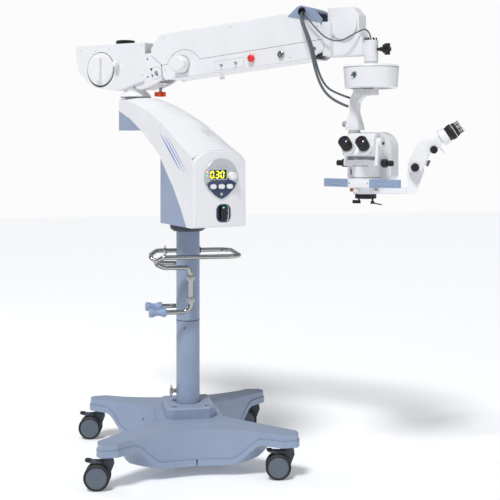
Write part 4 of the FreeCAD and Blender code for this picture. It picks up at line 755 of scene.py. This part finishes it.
# Assistant scope
EYE_RISE = math.radians(33)
eye = place(SCOPE, (296, 0, 1335), (math.cos(EYE_RISE), 0, math.sin(EYE_RISE)))
lathe("assistant_collar", [(32.6, 2), (33.6, 3), (33.6, 21.6), (31.4, 27), (28.6, 29)], eye, WHITE,
      "assistant", segments=72)
lathe("assistant_barrel", [(28.2, 29.2), (28.8, 30), (28.8, 37.4), (30.9, 40.8), (31.1, 42)], eye, BLACK,
      "assistant", segments=72)
lathe("assistant_ridge", [(30.6, 42), (31.4, 43), (31.4, 57), (30.6, 58.4)], eye, RUBBER, "assistant",
      segments=144, flutes=36, depth=0.6, zone=(42.5, 57.5))
lathe("assistant_cup", [(28.2, 61), (28.8, 62), (28.4, 69), (26.2, 71), (26.0, 74), (26.0, 91), (24.0, 95.4),
                        (21, 95.6), (18, 94.4), (14.6, 92)], eye,
      RUBBER, "assistant", segments=72)
lathe("assistant_lens", [(0, 93.4), (6, 93.0), (15.6, 91.2)], eye, LENS, "assistant", segments=48)
pivot = place(SCOPE, (195, -33, 1222), (0, -1, 0))
lathe("assistant_knob", [(6, -0.4), (17.4, 0), (17.6, 14.6), (15, 16.6), (0, 16.8)], pivot, BLACK,
      "assistant", segments=96, flutes=18, depth=1.2, zone=(0, 15))
lathe("prism_knob", [(6, 0), (16.4, 0.4), (16.6, 16.4), (14, 18.6), (0, 18.8)],
      place(SCOPE, (268, -23, 1292), (0, -1, 0)), BLACK, "assistant", segments=96,
      flutes=18, depth=1.2, zone=(0.2, 17))
lathe("side_grip", [(4, 15), (12.2, 15), (12.8, 16), (12.8, 23.6), (11, 24.6), (0, 24.8)],
      place(SCOPE, (229, 0, 1246), (0.9, 0, -0.42)), BLACK, "assistant",
      segments=72, flutes=14, depth=0.9, zone=(15.5, 24))


# Cables: each keeps one smooth line, cut into one piece for each pair of neighbouring bodies in its chain

def up(s, p, z):
    return UPPER @ (Vector((s, -p, z)) * MM)


MAIN_ROUTE = [(918, 0, 1864), (918, 108, 1863), (980, 112, 1728), (1000, 98, 1606), (1024, 75, 1529),
              (1066, 45, 1485), (1107, 14, 1466)]
SECOND_ROUTE = [(925, 0, 1853.5), (925, 104, 1853.5), (983, 100, 1729), (1003, 86, 1615), (1028, 64, 1546),
                (1070, 35, 1518),
                (1110, 2, 1501)]
THIN_ROUTE = [(932, 20, 1862), (932, 92, 1862), (983, 88, 1799), (1038, 88, 1743), (1102, 80, 1724),
              (1159, 60, 1759), (1199, 14, 1786),
              (TUBE_S, 0, TUBE_TOP)]


def spline_points(route):
    """Points read along the smooth line of a route."""
    curve = bpy.data.curves.new("route", "CURVE")
    curve.dimensions = "3D"
    spline = curve.splines.new("NURBS")
    spline.points.add(len(route) - 1)
    for point, at in zip(spline.points, route):
        co = up(*at)
        point.co = (co.x, co.y, co.z, 1.0)
    spline.use_endpoint_u = True
    spline.order_u = 3
    spline.resolution_u = 24
    holder = bpy.data.objects.new("route", curve)
    bpy.context.scene.collection.objects.link(holder)
    bpy.context.view_layer.update()
    mesh = bpy.data.meshes.new_from_object(holder)
    out = [v.co.copy() for v in mesh.vertices]
    bpy.data.objects.remove(holder)
    bpy.data.meshes.remove(mesh)
    return out


def tube_mesh(name, path, radius, mat, sides=20):
    verts = []
    faces = []
    side = None
    n = len(path)
    for i, p in enumerate(path):
        along = (path[min(n - 1, i + 1)] - path[max(0, i - 1)]).normalized()
        if side is None:
            side = along.orthogonal().normalized()
        side = (side - along * side.dot(along)).normalized()
        other = along.cross(side)
        for k in range(sides):
            a = 2 * math.pi * k / sides
            verts.append(p + (side * math.cos(a) + other * math.sin(a)) * radius * MM)
    for i in range(n - 1):
        for k in range(sides):
            j = (k + 1) % sides
            faces.append((i * sides + k, i * sides + j, (i + 1) * sides + j, (i + 1) * sides + k))
    faces.append(tuple(range(sides)))
    faces.append(tuple((n - 1) * sides + k for k in range(sides)))
    return piece(name, verts, faces, mat, None, smooth=60)


def cable(tag, route, radius, shares, chain):
    """Cuts a route at shares of its points into one piece for each pair of neighbours in the chain of bodies.
    """
    points = spline_points(route)
    n = len(points) - 1
    cuts = [0] + [round(n * s) for s in shares] + [n]
    made = []
    for k in range(len(chain) - 1):
        path = points[cuts[k]:cuts[k + 1] + 1]
        obj = tube_mesh("%s_%d" % (tag, k), path, radius, CABLE)
        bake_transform(obj)
        made.append(obj)
    return made


cables = cable("main_cable", MAIN_ROUTE, 5.5, (0.4, 0.6, 0.8),
               ("arm", "arm_end", "drum", "carriage", "bracket"))
cables += cable("second_cable", SECOND_ROUTE, 4.5, (0.4, 0.6, 0.8),
                ("arm", "arm_end", "drum", "carriage", "bracket"))
cables += cable("hanger_cable", THIN_ROUTE, 3.2, (), ("arm", "arm_end"))
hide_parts("head_cables")

# Floor, light and camera

floor_mat = finish("floor", srgb(247, 247, 248), 0.6, grain=40, bump=0.01, mottle=0.01, edge=0.0)
mesh = bpy.data.meshes.new("floor")
mesh.from_pydata([(-14, -14, 0), (14, -14, 0), (14, 14, 0), (-14, 14, 0)], [], [(0, 1, 2, 3)])
mesh.materials.append(floor_mat)
floor_shader = floor_mat.node_tree.nodes["Principled BSDF"]
floor_shader.inputs["Emission Color"].default_value = (1.0, 1.0, 1.0, 1.0)
floor_shader.inputs["Emission Strength"].default_value = 0.14
floor = bpy.data.objects.new("floor", mesh)
bpy.context.scene.collection.objects.link(floor)

world = bpy.data.worlds.new("studio")
bpy.context.scene.world = world
world.use_nodes = True
sky = world.node_tree
soft_light = sky.nodes["Background"]
soft_light.inputs["Color"].default_value = (0.93, 0.96, 1.0, 1.0)
soft_light.inputs["Strength"].default_value = 0.33
backdrop = sky.nodes.new("ShaderNodeBackground")
backdrop.inputs["Color"].default_value = (1.0, 1.0, 1.0, 1.0)
backdrop.inputs["Strength"].default_value = 0.97
seen = sky.nodes.new("ShaderNodeLightPath")
choice = sky.nodes.new("ShaderNodeMixShader")
sky.links.new(seen.outputs["Is Camera Ray"], choice.inputs["Fac"])
sky.links.new(soft_light.outputs["Background"], choice.inputs[1])
sky.links.new(backdrop.outputs["Background"], choice.inputs[2])
sky.links.new(choice.outputs["Shader"], sky.nodes["World Output"].inputs["Surface"])


def area(name, at, target, size, power):
    data = bpy.data.lights.new(name, "AREA")
    data.shape = "DISK"
    data.size = size
    data.energy = power
    obj = bpy.data.objects.new(name, data)
    bpy.context.scene.collection.objects.link(obj)
    obj.location = at
    obj.rotation_euler = (Vector(target) - Vector(at)).to_track_quat("-Z", "Y").to_euler()
    return obj


area("fill", (3.0, -3.6, 2.2), (0.3, 0, 1.2), 2.4, 14)
area("edge", (-3.4, 2.6, 3.0), (0, 0, 1.2), 2.0, 24)
sun_data = bpy.data.lights.new("key", "SUN")
sun_data.energy = 2.3
sun_data.angle = math.radians(14)
sun = bpy.data.objects.new("key", sun_data)
bpy.context.scene.collection.objects.link(sun)
sun.rotation_euler = Vector((0.42, 0.62, -1.15)).to_track_quat("-Z", "Y").to_euler()

FOCAL_PX = 1050.0
FRAME_PX = 500.0
HORIZON_PX = 110.0
EYE = Vector((-0.563, -4.382, 1.33))
AHEAD = -10.7
camera_data = bpy.data.cameras.new("camera")
camera_data.sensor_width = 36.0
camera_data.lens = 36.0 * FOCAL_PX / FRAME_PX
camera_data.clip_end = 60.0
camera = bpy.data.objects.new("camera", camera_data)
bpy.context.scene.collection.objects.link(camera)
camera.location = EYE
camera_data.shift_y = -HORIZON_PX / FRAME_PX
camera.rotation_euler = (math.radians(90), 0, math.radians(AHEAD))
bpy.context.scene.camera = camera
bpy.context.scene.view_settings.view_transform = "Standard"
